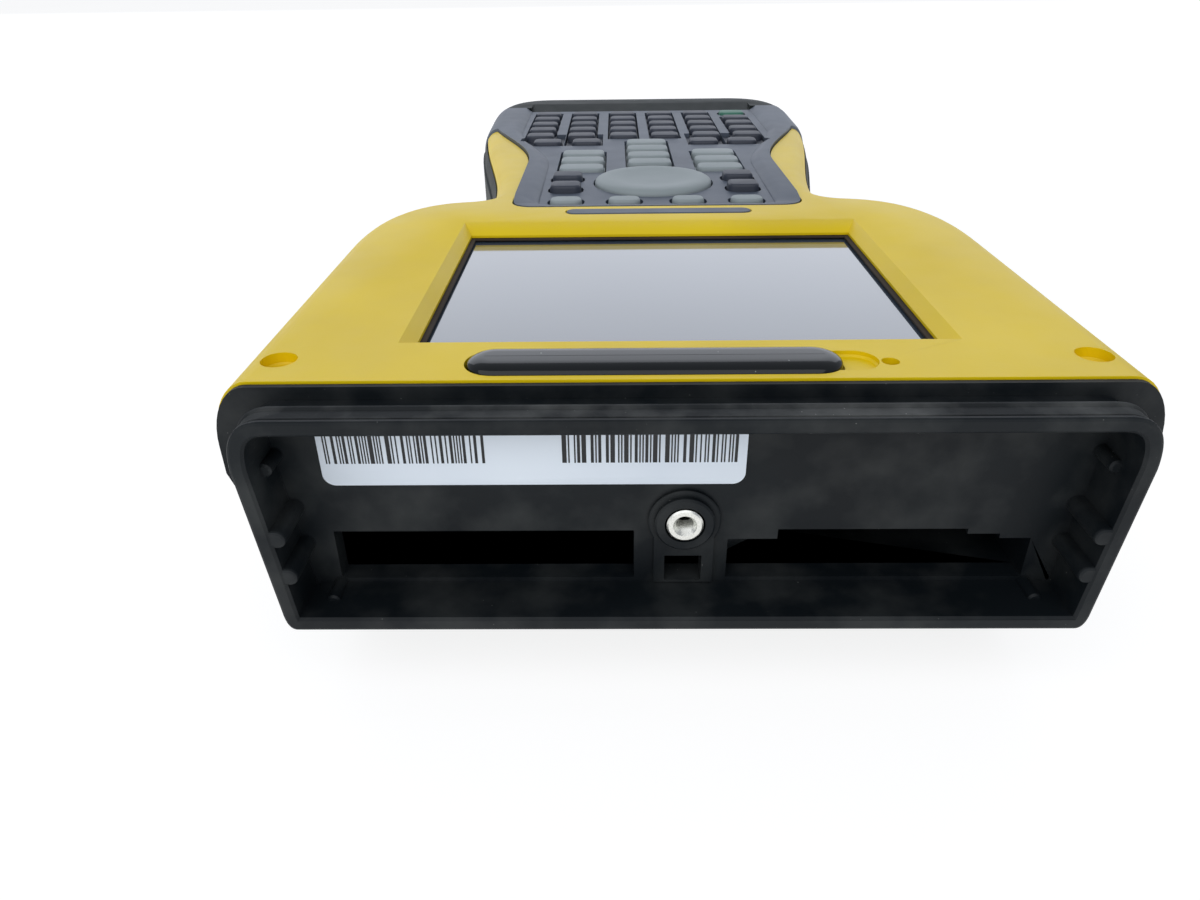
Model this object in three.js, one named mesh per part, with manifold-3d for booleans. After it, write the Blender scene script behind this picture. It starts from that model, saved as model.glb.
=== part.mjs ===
// A rugged handheld data collector for field surveying, lying on its back.
// Millimetres. Every piece is drawn in x across the width, y from the card-bay rim towards the keypad
// end, and z up from the display face; the exported group then puts the origin under the middle.
import * as THREE from "three";
import { mergeVertices } from "three/addons/utils/BufferGeometryUtils.js";
import Module from "manifold-3d";

const wasm = await Module();
wasm.setup();

// Driving dimensions
const LENGTH = 266;
const FACE_HEIGHT = 47; // display face above the surface that the back rests on
const HEAD_HALF = 59.5; // half width of the flat face at the display
const WAIST_HALF = 34.9;
const GRIP_HALF = 48.3;
const SIDE_ROUND = 5.5; // how far the sides swell out beyond the flat face
const SIDE_ROUND_DEPTH = 9;
const WALL = 2.4;
const GAP = 0.3; // clearance between neighbouring pieces
const WIDE = 80; // half width of the blocks that cut right across the case
const CASE_START = 9.3; // the yellow case starts here, behind the card-bay neck
const BOOT_START = 241.3;
const FACE_END = LENGTH - SIDE_ROUND;
const RAIL_TOP = 0.9; // the rails beside the keys stand a little proud of the face

// Finishes
const YELLOW = { color: 0xd9c21c, roughness: 0.5, metalness: 0 };
const BLACK = { color: 0x23282b, roughness: 0.6, metalness: 0 };
const RUBBER = { color: 0x1a1d1f, roughness: 0.8, metalness: 0 };
const BOOT = { color: 0x2c3836, roughness: 0.6, metalness: 0 };
const GREY = { color: 0x69727b, roughness: 0.6, metalness: 0 };
const KEY_LIGHT = { color: 0x979ca0, roughness: 0.6, metalness: 0 };
const KEY_DARK = { color: 0x454b55, roughness: 0.65, metalness: 0 };
const KEY_GREEN = { color: 0x3d7c66, roughness: 0.6, metalness: 0 };
const GLOSS_BLACK = { color: 0x15181a, roughness: 0.2, metalness: 0 };
const GLASS = { color: 0xaeb8c2, roughness: 0.1, metalness: 0 };
const BOARD = { color: 0x1f5c38, roughness: 0.5, metalness: 0 };
const STEEL = { color: 0xb8b8b4, roughness: 0.3, metalness: 1 };
const BRASS = { color: 0xc9a24a, roughness: 0.35, metalness: 1 };
const PAPER = { color: 0xf2f3f5, roughness: 0.6, metalness: 0 };
const CELL = { color: 0x30343c, roughness: 0.5, metalness: 0 };

const device = new THREE.Group();
device.position.set(0, -LENGTH / 2, FACE_HEIGHT);

// ---------------------------------------------------------------- solids

function solidOf(geometry) {
  const bare = geometry.index ? geometry.toNonIndexed() : geometry.clone();
  bare.deleteAttribute("normal");
  bare.deleteAttribute("uv");
  const merged = mergeVertices(bare, 1e-4);
  return new wasm.Manifold(
    new wasm.Mesh({
      numProp: 3,
      vertProperties: merged.attributes.position.array,
      triVerts: new Uint32Array(merged.index.array),
    }),
  );
}

function piece(name, solid, finish) {
  const { vertProperties, triVerts } = solid.getMesh();
  const geometry = new THREE.BufferGeometry();
  geometry.setAttribute("position", new THREE.BufferAttribute(vertProperties, 3));
  geometry.setIndex(new THREE.BufferAttribute(triVerts, 1));
  geometry.computeVertexNormals();
  const mesh = new THREE.Mesh(geometry, new THREE.MeshStandardMaterial(finish));
  mesh.name = name;
  device.add(mesh);
}

// A shape in x and y, extruded in z from low to high. A bevel rounds both ends.
function prism(shape, low, high, bevel = {}) {
  const { thickness = 0, size = 0, offset = 0, steps = 1, curve = 3 } = bevel;
  const geometry = new THREE.ExtrudeGeometry(shape, {
    depth: high - low - 2 * thickness,
    curveSegments: curve,
    bevelEnabled: thickness > 0,
    bevelThickness: thickness,
    bevelSize: size,
    bevelOffset: offset,
    bevelSegments: steps,
  });
  geometry.translate(0, 0, low + thickness);
  return solidOf(geometry);
}

// A shape in x and y, extruded in z, whose top is drawn in towards its middle.
function domed(shape, low, high, taper) {
  const geometry = new THREE.ExtrudeGeometry(shape, {
    depth: high - low,
    curveSegments: 2,
    bevelEnabled: false,
  });
  geometry.computeBoundingBox();
  const middle = geometry.boundingBox.getCenter(new THREE.Vector3());
  const place = geometry.attributes.position;
  for (let i = 0; i < place.count; i += 1) {
    const scale = place.getZ(i) > middle.z ? taper : 1;
    const x = middle.x + (place.getX(i) - middle.x) * scale;
    place.setXY(i, x, middle.y + (place.getY(i) - middle.y) * scale);
  }
  geometry.translate(0, 0, low);
  return solidOf(geometry);
}

// A shape in x and z, extruded along y from near to far.
function prismAlongY(shape, near, far, curve = 4) {
  const geometry = new THREE.ExtrudeGeometry(shape, {
    depth: far - near,
    curveSegments: curve,
    bevelEnabled: false,
  });
  geometry.rotateX(Math.PI / 2);
  geometry.translate(0, far, 0);
  return solidOf(geometry);
}

// A side profile in y and z, extruded along x over plus and minus half.
function prismAlongX(points, half) {
  const shape = new THREE.Shape(points.map(([y, z]) => new THREE.Vector2(y, z)));
  const geometry = new THREE.ExtrudeGeometry(shape, { depth: 2 * half, bevelEnabled: false });
  const turn = new THREE.Matrix4().makeBasis(
    new THREE.Vector3(0, 1, 0),
    new THREE.Vector3(0, 0, 1),
    new THREE.Vector3(1, 0, 0),
  );
  geometry.applyMatrix4(turn);
  geometry.translate(-half, 0, 0);
  return solidOf(geometry);
}

function box(x0, x1, y0, y1, z0, z1) {
  const geometry = new THREE.BoxGeometry(x1 - x0, y1 - y0, z1 - z0);
  geometry.translate((x0 + x1) / 2, (y0 + y1) / 2, (z0 + z1) / 2);
  return solidOf(geometry);
}

// A four-sided opening that widens from its lower to its upper rectangle, each [x0, x1, y0, y1].
function flare(lower, upper, low, high) {
  const geometry = new THREE.BoxGeometry(1, 1, 1);
  const place = geometry.attributes.position;
  for (let i = 0; i < place.count; i += 1) {
    const rim = place.getZ(i) > 0 ? upper : lower;
    const x = place.getX(i) > 0 ? rim[1] : rim[0];
    const y = place.getY(i) > 0 ? rim[3] : rim[2];
    place.setXYZ(i, x, y, place.getZ(i) > 0 ? high : low);
  }
  return solidOf(geometry);
}

function cylinder(axis, radius, low, high, a, b, sides = 16) {
  const geometry = new THREE.CylinderGeometry(radius, radius, high - low, sides);
  const middle = (low + high) / 2;
  if (axis === "z") {
    geometry.rotateX(Math.PI / 2);
    geometry.translate(a, b, middle);
  } else if (axis === "y") {
    geometry.translate(a, middle, b);
  } else {
    geometry.rotateZ(Math.PI / 2);
    geometry.translate(middle, a, b);
  }
  return solidOf(geometry);
}

function roundedRectangle(x0, x1, y0, y1, radius) {
  const shape = new THREE.Shape();
  shape.moveTo(x0 + radius, y0);
  shape.lineTo(x1 - radius, y0);
  shape.absarc(x1 - radius, y0 + radius, radius, -Math.PI / 2, 0);
  shape.lineTo(x1, y1 - radius);
  shape.absarc(x1 - radius, y1 - radius, radius, 0, Math.PI / 2);
  shape.lineTo(x0 + radius, y1);
  shape.absarc(x0 + radius, y1 - radius, radius, Math.PI / 2, Math.PI);
  shape.lineTo(x0, y0 + radius);
  shape.absarc(x0 + radius, y0 + radius, radius, Math.PI, 1.5 * Math.PI);
  return shape;
}

// Closes a right-hand outline with its mirror image.
function mirrored(path, divisions) {
  const right = path.getPoints(divisions);
  const left = right.map((p) => new THREE.Vector2(-p.x, p.y)).reverse();
  return new THREE.Shape(right.concat(left));
}

// ---------------------------------------------------------------- case outlines

// The flat face seen from above: wide head, narrow waist and a grip that widens to the keypad end.
function faceShape() {
  const path = new THREE.Path();
  path.moveTo(HEAD_HALF, -12);
  path.lineTo(HEAD_HALF, 74);
  path.bezierCurveTo(HEAD_HALF, 90, 56, 103.5, 43.5, 105.5);
  path.bezierCurveTo(38, 106.4, WAIST_HALF, 110, WAIST_HALF, 117);
  path.bezierCurveTo(WAIST_HALF, 140, 43.8, 168, 47.5, 205);
  path.lineTo(GRIP_HALF, 228);
  path.bezierCurveTo(49, 246, 46, FACE_END, 33, FACE_END);
  return mirrored(path, 6);
}

// Upper skin of the case, with rounded top edges; inset moves it inwards.
function crown(top, inset) {
  const bevel = { thickness: SIDE_ROUND_DEPTH, size: SIDE_ROUND - inset, steps: inset > 1 ? 2 : 4 };
  return prism(faceShape(), -70, top - inset, bevel);
}

// Lower skin of the case: the sides of the head lean in to the battery hump, and the slimmer grip is round.
const HUMP = { bottom: -FACE_HEIGHT, depth: 33, size: 11.5, offset: -6, steps: 1 };
const GRIP = { bottom: 8 - FACE_HEIGHT, depth: 18, size: 8, offset: -2, steps: 4 };
const GRIP_START = 106; // where the grip leaves the shoulders of the head
const NECK_BOTTOM = -35.7;

function keel(zone, profile, inset) {
  const steps = inset > 1 ? Math.ceil(zone.steps / 2) : zone.steps;
  const bevel = { thickness: zone.depth, size: zone.size, offset: zone.offset - inset, steps };
  return prism(faceShape(), zone.bottom + inset, 60, bevel).intersect(prismAlongX(profile, WIDE));
}

function lowerBody(end, inset) {
  const start = CASE_START - 5;
  const neck = NECK_BOTTOM - 0.6 + inset * 0.7; // a thinner wall here, round the card-bay spigot
  const hump = [
    [start, 10],
    [start, neck],
    [CASE_START, neck],
    [20 + inset, HUMP.bottom - 0.1 + inset],
    [150 - inset, HUMP.bottom - 0.1 + inset],
    [164 - inset, GRIP.bottom + inset],
    [164 - inset, 10],
  ];
  const grip = [
    [GRIP_START, 10],
    [GRIP_START, GRIP.bottom - 0.1 + inset],
    [end, GRIP.bottom - 0.1 + inset],
    [end, 10],
  ];
  return keel(HUMP, hump, inset).add(keel(GRIP, grip, inset));
}

// The seam between front and rear case: low along the head, higher along the grip.
const SEAM_HEAD = -14;
const SEAM_GRIP = -8;

function aboveSeam(lift, start, end) {
  return prismAlongX(
    [
      [start, SEAM_HEAD + lift],
      [100, SEAM_HEAD + lift],
      [135, SEAM_GRIP + lift],
      [end, SEAM_GRIP + lift],
      [end, 6],
      [start, 6],
    ],
    WIDE,
  );
}

function belowSeam(lift, start, end) {
  return prismAlongX(
    [
      [start, -60],
      [end, -60],
      [end, SEAM_GRIP + lift],
      [135, SEAM_GRIP + lift],
      [100, SEAM_HEAD + lift],
      [start, SEAM_HEAD + lift],
    ],
    WIDE,
  );
}

// The keypad surround seen from above; grow adds clearance round it.
function surroundShape(grow) {
  const side = 33 + grow;
  const near = 101 - grow;
  const path = new THREE.Path();
  path.moveTo(side - 5, near);
  path.bezierCurveTo(side - 2, near, side, near + 2, side, near + 5);
  path.lineTo(side, 146);
  path.bezierCurveTo(side, 165, 42 + grow, 180, 47.2 + grow, 198);
  path.lineTo(66, 214);
  path.lineTo(66, 262);
  return mirrored(path, 5);
}

// Lips of the dark rear case that rise outside the grip: low beside the yellow cheeks of the waist, and
// as high as the rails beside the keypad surround.
const CHEEK_START = 118;
const CHEEK_LOW = -13;
const LIP_START = 204.5;
const LIP_GROWTH = 4.4; // the lips lie outside the face outline grown by this much

// Everything outside the face outline grown by some amount, for cutting clearance round the lips.
function outsideGrip(start, end, low, growth) {
  const inside = prism(faceShape(), -60, 12, { thickness: 1, size: growth });
  return box(-WIDE, WIDE, start, end, low, 5).subtract(inside);
}

// ---------------------------------------------------------------- front case

const WINDOW = [-39.9, 39.3, 24.5, 84.8];
const WINDOW_BEVEL = [-41.7, 41.1, 22.4, 88.2];
const PLATE = { x0: -30.5, x1: 22, y0: 10.9, y1: 19.2 };
const BADGE = { x0: -20.3, x1: 20.3, y0: 94.4, y1: 98.3 };
const SOUND_HOLE = { x: 28.5, y: 14.6 };

function stadium({ x0, x1, y0, y1 }, grow) {
  const radius = (y1 - y0) / 2 + grow - 0.02;
  return roundedRectangle(x0 - grow, x1 + grow, y0 - grow, y1 + grow, radius);
}

function frontCase() {
  let shell = crown(0, 0).intersect(aboveSeam(0, CASE_START, LIP_START - GAP));
  shell = shell.subtract(crown(0, WALL).intersect(aboveSeam(-3, 0, LENGTH)));
  shell = shell.subtract(outsideGrip(CHEEK_START - GAP, LENGTH, -20, LIP_GROWTH - GAP));
  shell = shell.subtract(prism(surroundShape(GAP), SEAM_GRIP - 0.1, 4));
  shell = shell.subtract(flare(WINDOW, WINDOW_BEVEL, -1.9, 0.02));
  shell = shell.subtract(box(...WINDOW, -5, -1.8));
  shell = shell.subtract(prism(stadium(PLATE, GAP), -1.5, 2));
  shell = shell.subtract(prism(stadium({ ...PLATE, x1: 27, y0: 11.8, y1: 18.4 }, 0), -0.9, 2));
  shell = shell.subtract(prism(stadium(BADGE, GAP), -0.9, 2));
  shell = shell.subtract(cylinder("z", 1.25, -5, 2, SOUND_HOLE.x, SOUND_HOLE.y, 12));
  for (const side of [-1, 1]) {
    shell = shell.subtract(cylinder("z", 2.6, -1.8, 2, side * 57.4, 16.5, 16));
  }
  return shell;
}

piece("front_case", frontCase(), YELLOW);

// ---------------------------------------------------------------- rear case and battery bay

const BAY = { half: 28.5, y0: 62, y1: 140, top: -25.5 };
const DOOR_PIN = { y: 137.4, z: -44.6, radius: 0.9 };
const DOOR_OUTER = 0.2 - FACE_HEIGHT;
const DOOR_INNER = 2.6 - FACE_HEIGHT;
const DOOR_SCREWS = { x: [-18, 18], y: BAY.y0 + 6 };
const STYLUS = { x: 47.2, z: -41.8, radius: 2.4, y0: 20, y1: 108 };
const BOSS_HEIGHT = 11;
const CASE_SCREWS = [
  { x: 40, y: 32, floor: HUMP.bottom },
  { x: 40, y: 88, floor: HUMP.bottom },
  { x: 36, y: 195, floor: GRIP.bottom },
].flatMap((screw) => [{ ...screw, x: -screw.x }, screw]);

function rearCase() {
  const start = CASE_START;
  const end = BOOT_START - GAP;
  let shell = lowerBody(end, 0).intersect(belowSeam(-GAP, start, end));
  const railLips = crown(RAIL_TOP, 0).intersect(outsideGrip(LIP_START + GAP, end, SEAM_GRIP - 1, LIP_GROWTH));
  const cheekLips = crown(0, 0).intersect(outsideGrip(CHEEK_START, LIP_START - GAP, CHEEK_LOW, LIP_GROWTH));
  shell = shell.add(cheekLips.subtract(prism(surroundShape(2 * GAP), SEAM_GRIP - 0.1, 4))).add(railLips);
  shell = shell.subtract(lowerBody(end - WALL, WALL));
  const { half, y0, y1, top } = BAY;
  const bay = box(-half - 2, half + 2, y0 - 2, y1 + 2, -45, top + 1.5);
  shell = shell.add(bay.intersect(lowerBody(end, 0)));
  for (const { x, y, floor } of CASE_SCREWS) {
    shell = shell.add(cylinder("z", 4.2, floor + 2, floor + BOSS_HEIGHT, x, y, 8));
    shell = shell.subtract(cylinder("z", 1.9, floor - 1, floor + BOSS_HEIGHT + 1, x, y, 8));
    shell = shell.subtract(cylinder("z", 3.2, floor - 1, floor + 1.9, x, y, 12));
  }
  shell = shell.subtract(box(-half, half, y0, y1, -60, top));
  shell = shell.subtract(box(-10, 10, y0 - 3, y0 + 1, -41, -33));
  shell = shell.subtract(cylinder("x", 1.2, -half - 1.8, half + 1.8, DOOR_PIN.y, DOOR_PIN.z, 12));
  shell = shell.subtract(cylinder("y", STYLUS.radius + GAP, 84, 112, STYLUS.x, STYLUS.z, 14));
  return shell;
}

piece("rear_case", rearCase(), BLACK);

function batteryDoor() {
  const { half, y0 } = BAY;
  const edge = half - GAP;
  let door = box(-edge, edge, y0 + GAP, DOOR_PIN.y, DOOR_OUTER, DOOR_INNER);
  door = door.add(cylinder("x", 2.2, -edge, edge, DOOR_PIN.y, DOOR_PIN.z, 16));
  door = door.subtract(cylinder("x", 1.2, -half, half, DOOR_PIN.y, DOOR_PIN.z, 12));
  for (const x of DOOR_SCREWS.x) {
    door = door.subtract(cylinder("z", 1.5, DOOR_OUTER - 1, DOOR_INNER + 1, x, DOOR_SCREWS.y, 12));
    door = door.subtract(cylinder("z", 3.7, DOOR_OUTER - 1, DOOR_OUTER + 1.5, x, DOOR_SCREWS.y, 16));
  }
  return door;
}

function screw(x, y, headBottom, headHeight, headRadius, shankRadius, shankTop, slot) {
  let body = cylinder("z", headRadius, headBottom, headBottom + headHeight, x, y, 12);
  body = body.add(cylinder("z", shankRadius, headBottom + headHeight / 2, shankTop, x, y, 8));
  const half = slot / 2;
  const reach = headRadius * 0.8;
  return body.subtract(box(x - reach, x + reach, y - half, y + half, headBottom - 1, headBottom + 0.6));
}

piece("battery_door", batteryDoor(), BLACK);
piece(
  "door_hinge_pin",
  cylinder("x", DOOR_PIN.radius, -BAY.half - 1.5, BAY.half + 1.5, DOOR_PIN.y, DOOR_PIN.z, 12),
  STEEL,
);
DOOR_SCREWS.x.forEach((x, i) => {
  const turnScrew = screw(x, DOOR_SCREWS.y, DOOR_OUTER + 0.05, 1.15, 3.4, 1.2, DOOR_INNER - 0.1, 1);
  piece(`door_screw_${i + 1}`, turnScrew, STEEL);
});
CASE_SCREWS.forEach(({ x, y, floor }, i) => {
  piece(`case_screw_${i + 1}`, screw(x, y, floor + 0.4, 1.2, 2.9, 1.4, floor + BOSS_HEIGHT - 1, 1), STEEL);
});
piece(
  "battery_pack",
  prism(roundedRectangle(-27.5, 27.5, BAY.y0 + 1.4, 133.5, 3), -43.8, -27, { curve: 3 }),
  CELL,
);
piece("battery_contacts", box(-9.6, 9.6, BAY.y0 - 5, BAY.y0 + 1, -40.6, -33.4), BRASS);

function stylus() {
  const { x, z, radius, y0, y1 } = STYLUS;
  const profile = [
    [0, y0],
    [0.5, y0 + 0.3],
    [radius * 0.9, y0 + 9],
    [radius, y0 + 12],
    [radius, y1 - 1],
    [radius - 0.8, y1],
    [0, y1],
  ];
  const geometry = new THREE.LatheGeometry(
    profile.map(([r, y]) => new THREE.Vector2(r, y)),
    14,
  );
  geometry.translate(x, 0, z);
  return solidOf(geometry);
}

piece("stylus", stylus(), BLACK);

// ---------------------------------------------------------------- card bay

// The neck seen from the end: square shoulders, sides that lean in and small lower corners.
function neckShape(inset) {
  const path = new THREE.Path();
  const top = -1.4 - inset;
  const bottom = NECK_BOTTOM + inset;
  path.moveTo(56 - inset, bottom);
  path.bezierCurveTo(57.2 - inset, bottom, 57.7 - inset, bottom + 1.4, 57.8 - inset, bottom + 3.2);
  path.lineTo(60.1 - inset, -9);
  path.bezierCurveTo(60.2 - inset, -4, 58.6 - inset, top, 54.4 - inset, top);
  return mirrored(path, 5);
}

const BAY_FLOOR = 8.7;
const SPIGOT = { inset: 2.1, end: 12 }; // the part of the neck that reaches into the case
const BOSS_FRONT = 8;
const NECK_INSET = 0.9; // how far the neck lies below the lip, which leaves room for the gasket
const LEFT_SLOT = { x0: -51.4, x1: -7, low: -32.8, high: -24.2 };
const RIGHT_SLOT = { x0: 6.8, x1: 51.2, low: -32.8, high: -25.8 };
const SLOT_STEPS = [
  { x0: 14.1, x1: 41.8, high: -24.1 },
  { x0: 41.7, x1: 46.6, high: -25 },
];
const INSERT = { x: 0.3, z: -22.3, front: 7.1, radius: 2.65 };
const SLEEVE_END = 48;

function cardBayFrame() {
  let frame = prismAlongY(neckShape(0), 0, 1).add(prismAlongY(neckShape(NECK_INSET), 0.9, 8.6));
  const collar = crown(0, 0.3).intersect(lowerBody(40, 0.3)).intersect(box(-WIDE, WIDE, 8.1, 9, -36, 4));
  frame = frame.add(collar).add(prismAlongY(neckShape(SPIGOT.inset), 8.5, SPIGOT.end));
  frame = frame.subtract(prismAlongY(neckShape(2.2), -1, BAY_FLOOR));
  for (const { x0, x1, low, high } of [LEFT_SLOT, { ...RIGHT_SLOT, high: LEFT_SLOT.high }]) {
    frame = frame.add(box(x0 - 1.2, x1 + 1.2, BAY_FLOOR + 1, SLEEVE_END, low - 1.2, high + 1.3));
  }
  const { x, z, front } = INSERT;
  frame = frame.add(cylinder("y", 5.3, BOSS_FRONT, BAY_FLOOR + 1, x, z, 16));
  frame = frame.add(cylinder("y", 4.4, front, BAY_FLOOR + 1, x, z, 16));
  frame = frame.add(box(x - 4.4, x + 4.4, BOSS_FRONT, BAY_FLOOR + 1, -33.2, z));
  for (const { x0, x1, low, high } of [LEFT_SLOT, RIGHT_SLOT]) {
    frame = frame.subtract(box(x0, x1, 8, SLEEVE_END + 1, low, high));
  }
  for (const { x0, x1, high } of SLOT_STEPS) {
    frame = frame.subtract(box(x0, x1, 8, SLEEVE_END + 1, RIGHT_SLOT.low, high));
  }
  frame = frame.subtract(box(-2.5, 3, 5, 20, RIGHT_SLOT.low, -28.3));
  frame = frame.subtract(cylinder("y", INSERT.radius + GAP, 0, 20, x, z, 16));
  return frame.add(gripRibs());
}

// Round-nosed guide ribs down both side walls, and small lugs in the corners of the bay.
const RIBS = { half: 1.35, front: 0.2, places: [{ tip: 54.9, z: -19.8 }, { tip: 54.4, z: -26.2 }] };
const LUGS = {
  radius: 1,
  front: 4,
  places: [{ x: 57.4, z: -11 }, { x: 50.8, z: -3.8 }, { x: 51.6, z: -33.6 }],
};

function gripRibs() {
  const ribs = [];
  for (const side of [-1, 1]) {
    for (const { tip, z } of RIBS.places) {
      const x0 = Math.min(side * tip, side * 60);
      const x1 = Math.max(side * tip, side * 60);
      const nose = roundedRectangle(x0, x1, z - RIBS.half, z + RIBS.half, RIBS.half - 0.05);
      ribs.push(prismAlongY(nose, RIBS.front, BAY_FLOOR + 1, 2));
    }
    for (const { x, z } of LUGS.places) {
      ribs.push(cylinder("y", LUGS.radius, LUGS.front, BAY_FLOOR + 1, side * x, z, 8));
    }
  }
  const within = prismAlongY(neckShape(1.4), 0.1, BAY_FLOOR + 1);
  return ribs.reduce((all, rib) => all.add(rib)).intersect(within);
}

piece("card_bay_frame", cardBayFrame(), BLACK);

// Rubber band that seals the end cap on the neck, with a raised ridge at its back edge.
function neckGasket() {
  const band = prismAlongY(neckShape(0.1), 1.3, 4.6).add(prismAlongY(neckShape(-0.2), 3.8, 4.5));
  return band.subtract(prismAlongY(neckShape(NECK_INSET - GAP), 1, 5));
}

piece("neck_gasket", neckGasket(), RUBBER);

function threadedInsert() {
  const { x, z, front, radius } = INSERT;
  return cylinder("y", radius, front - 0.15, 11, x, z, 18).subtract(
    cylinder("y", 1.3, front - 1, 12, x, z, 12),
  );
}

piece("threaded_insert", threadedInsert(), STEEL);
piece(
  "rating_label",
  prismAlongY(roundedRectangle(-51.2, 8.6, -15.9, -5.7, 1.8), BAY_FLOOR - 0.55, BAY_FLOOR - GAP),
  PAPER,
);
piece("card_socket_left", cardSocket(LEFT_SLOT), BLACK);
piece("card_socket_right", cardSocket(RIGHT_SLOT), BLACK);

// Header block behind each sleeve, with a contact bar that reaches into it.
function cardSocket({ x0, x1, low, high }) {
  const block = box(x0 - 1, x1 + 1, SLEEVE_END + GAP, SLEEVE_END + 6, low - 1, high + 1);
  return block.add(box(x0 + 2, x1 - 2, SLEEVE_END - 3, SLEEVE_END + 2, low + 1.2, low + 3.4));
}

function memoryCardSocket() {
  const shelf = box(RIGHT_SLOT.x0 + 0.4, 45, 15, 42, -27.9, -27.3);
  return shelf.add(box(14.6, 41.3, 38, 42, -27.9, -24.8));
}

piece("memory_card_socket", memoryCardSocket(), STEEL);

// ---------------------------------------------------------------- display

const GLASS_TOP = -3.1;

function frameRing(outer, inner, low, high) {
  return box(...outer, low, high).subtract(box(...inner, low - 1, high + 1));
}

function display() {
  const [x0, x1, y0, y1] = WINDOW;
  const outer = [x0 - 2.6, x1 + 2.6, y0 - 2.6, y1 + 3.2];
  const inner = [x0 + 0.9, x1 - 0.9, y0 + 0.9, y1 - 0.9];
  piece("display_gasket", frameRing(outer, inner, GLASS_TOP + GAP, -WALL - 0.1), RUBBER);
  piece("touch_panel", box(...outer, GLASS_TOP - 1.8, GLASS_TOP), GLASS);
  piece("display_module", box(-46, 46, 19.5, 91, -11, GLASS_TOP - 2.1), GREY);
}

display();
piece("name_plate", domed(stadium(PLATE, 0), -1.2, 1, 0.93), GLOSS_BLACK);
piece("keypad_badge", prism(stadium(BADGE, 0), -0.6, 0.15), GREY);
piece("microphone", cylinder("z", 2.2, -5, -3, SOUND_HOLE.x, SOUND_HOLE.y, 12), STEEL);

// ---------------------------------------------------------------- keypad

const WELL_FLOOR = -0.6;
const FLOOR_UNDER = -3.5;
const WEB = { low: -2.9, high: -1.8 };
const KEY_TOP = 0.3;
const SIDE_KEY_TOP = 1.1;
const PAD = { x: 0, y: 126.6, radius: 14.6 };
const FUNCTION_KEYS = [-21, -7.4, 7.4, 21].map((x) => ({ x, y: 107.3, w: 8, h: 5.8 }));
const SIDE_KEYS = [-21.6, 21.6].flatMap((x) => [119.2, 130.2].map((y) => ({ x, y, w: 8, h: 7 })));
const NUMBER_COLUMNS = [
  { x: -18.5, y0: 142.5, rows: 3 },
  { x: 0, y0: 149, rows: 4 },
  { x: 18.5, y0: 142.5, rows: 3 },
].map(({ x, y0, rows }) => ({ keys: column(x, y0, rows, 9.6, 12.5, 7.8) }));
const LETTER_START = 190.2;
const LETTER_PITCH = 10.5;
const LETTER_X = [-33, -20, -6.8, 6.2, 19.2, 32];
const LETTER_COLUMNS = LETTER_X.map((x) => {
  const keys = column(x, LETTER_START, 5, LETTER_PITCH, 9.2, 7.6);
  if (Math.abs(x) > 12) keys.unshift({ x: x * 0.91, y: LETTER_START - LETTER_PITCH, w: 9.2, h: 7.6 });
  return { keys };
});
const POWER_KEY = LETTER_COLUMNS[5].keys.pop();

function column(x, y0, rows, pitch, w, h) {
  return Array.from({ length: rows }, (_, row) => ({ x, y: y0 + row * pitch, w, h }));
}

function keyShape({ x, y, w, h }, grow, round) {
  const radius = Math.min(w, h) * round + grow;
  return roundedRectangle(x - w / 2 - grow, x + w / 2 + grow, y - h / 2 - grow, y + h / 2 + grow, radius);
}

function keyCap(key, low, top, round) {
  return domed(keyShape(key, 0, round), low, top, 0.82);
}

// A strip of keys that share one moulded web as wide as the keys.
function keyStrip(keys, top, round) {
  const caps = keys.map((key) => keyCap(key, WEB.high - 0.4, top, round));
  const links = keys.slice(1).map((key, i) => webBetween(keys[i], key, 0, WEB.low, WEB.high));
  return caps.reduce((all, cap) => all.add(cap), links.reduce((all, link) => all.add(link)));
}

// A straight web that spans two neighbouring keys.
function webBetween(a, b, grow, low, high) {
  const half = a.w / 2 + grow;
  return box(
    Math.min(a.x, b.x) - half,
    Math.max(a.x, b.x) + half,
    a.y - a.h / 2 - grow,
    b.y + b.h / 2 + grow,
    low,
    high,
  );
}

// The slot that a strip of keys moves in.
function stripSlot(keys) {
  const clearance = 0.35;
  const slots = keys.slice(1).map((key, i) => webBetween(keys[i], key, clearance, -9, 2));
  return slots.reduce((all, slot) => all.add(slot));
}

// The sunken floor of the keypad, seen from above.
function wellShape() {
  const path = new THREE.Path();
  path.moveTo(22, 102.9);
  path.bezierCurveTo(26, 102.9, 27.2, 103.5, 27.2, 107);
  path.lineTo(27.6, 148);
  path.bezierCurveTo(28.5, 162, 36, 176, 39.4, 196);
  path.lineTo(40, 260);
  return mirrored(path, 5);
}

// The plate's side profile: level with the face at its near edge, then rising to the rails.
const SURROUND_PROFILE = [
  [90, -20],
  [BOOT_START - GAP, -20],
  [BOOT_START - GAP, 3],
  [111, RAIL_TOP + 0.1],
  [104, 0.1],
  [90, 0.1],
];

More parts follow.
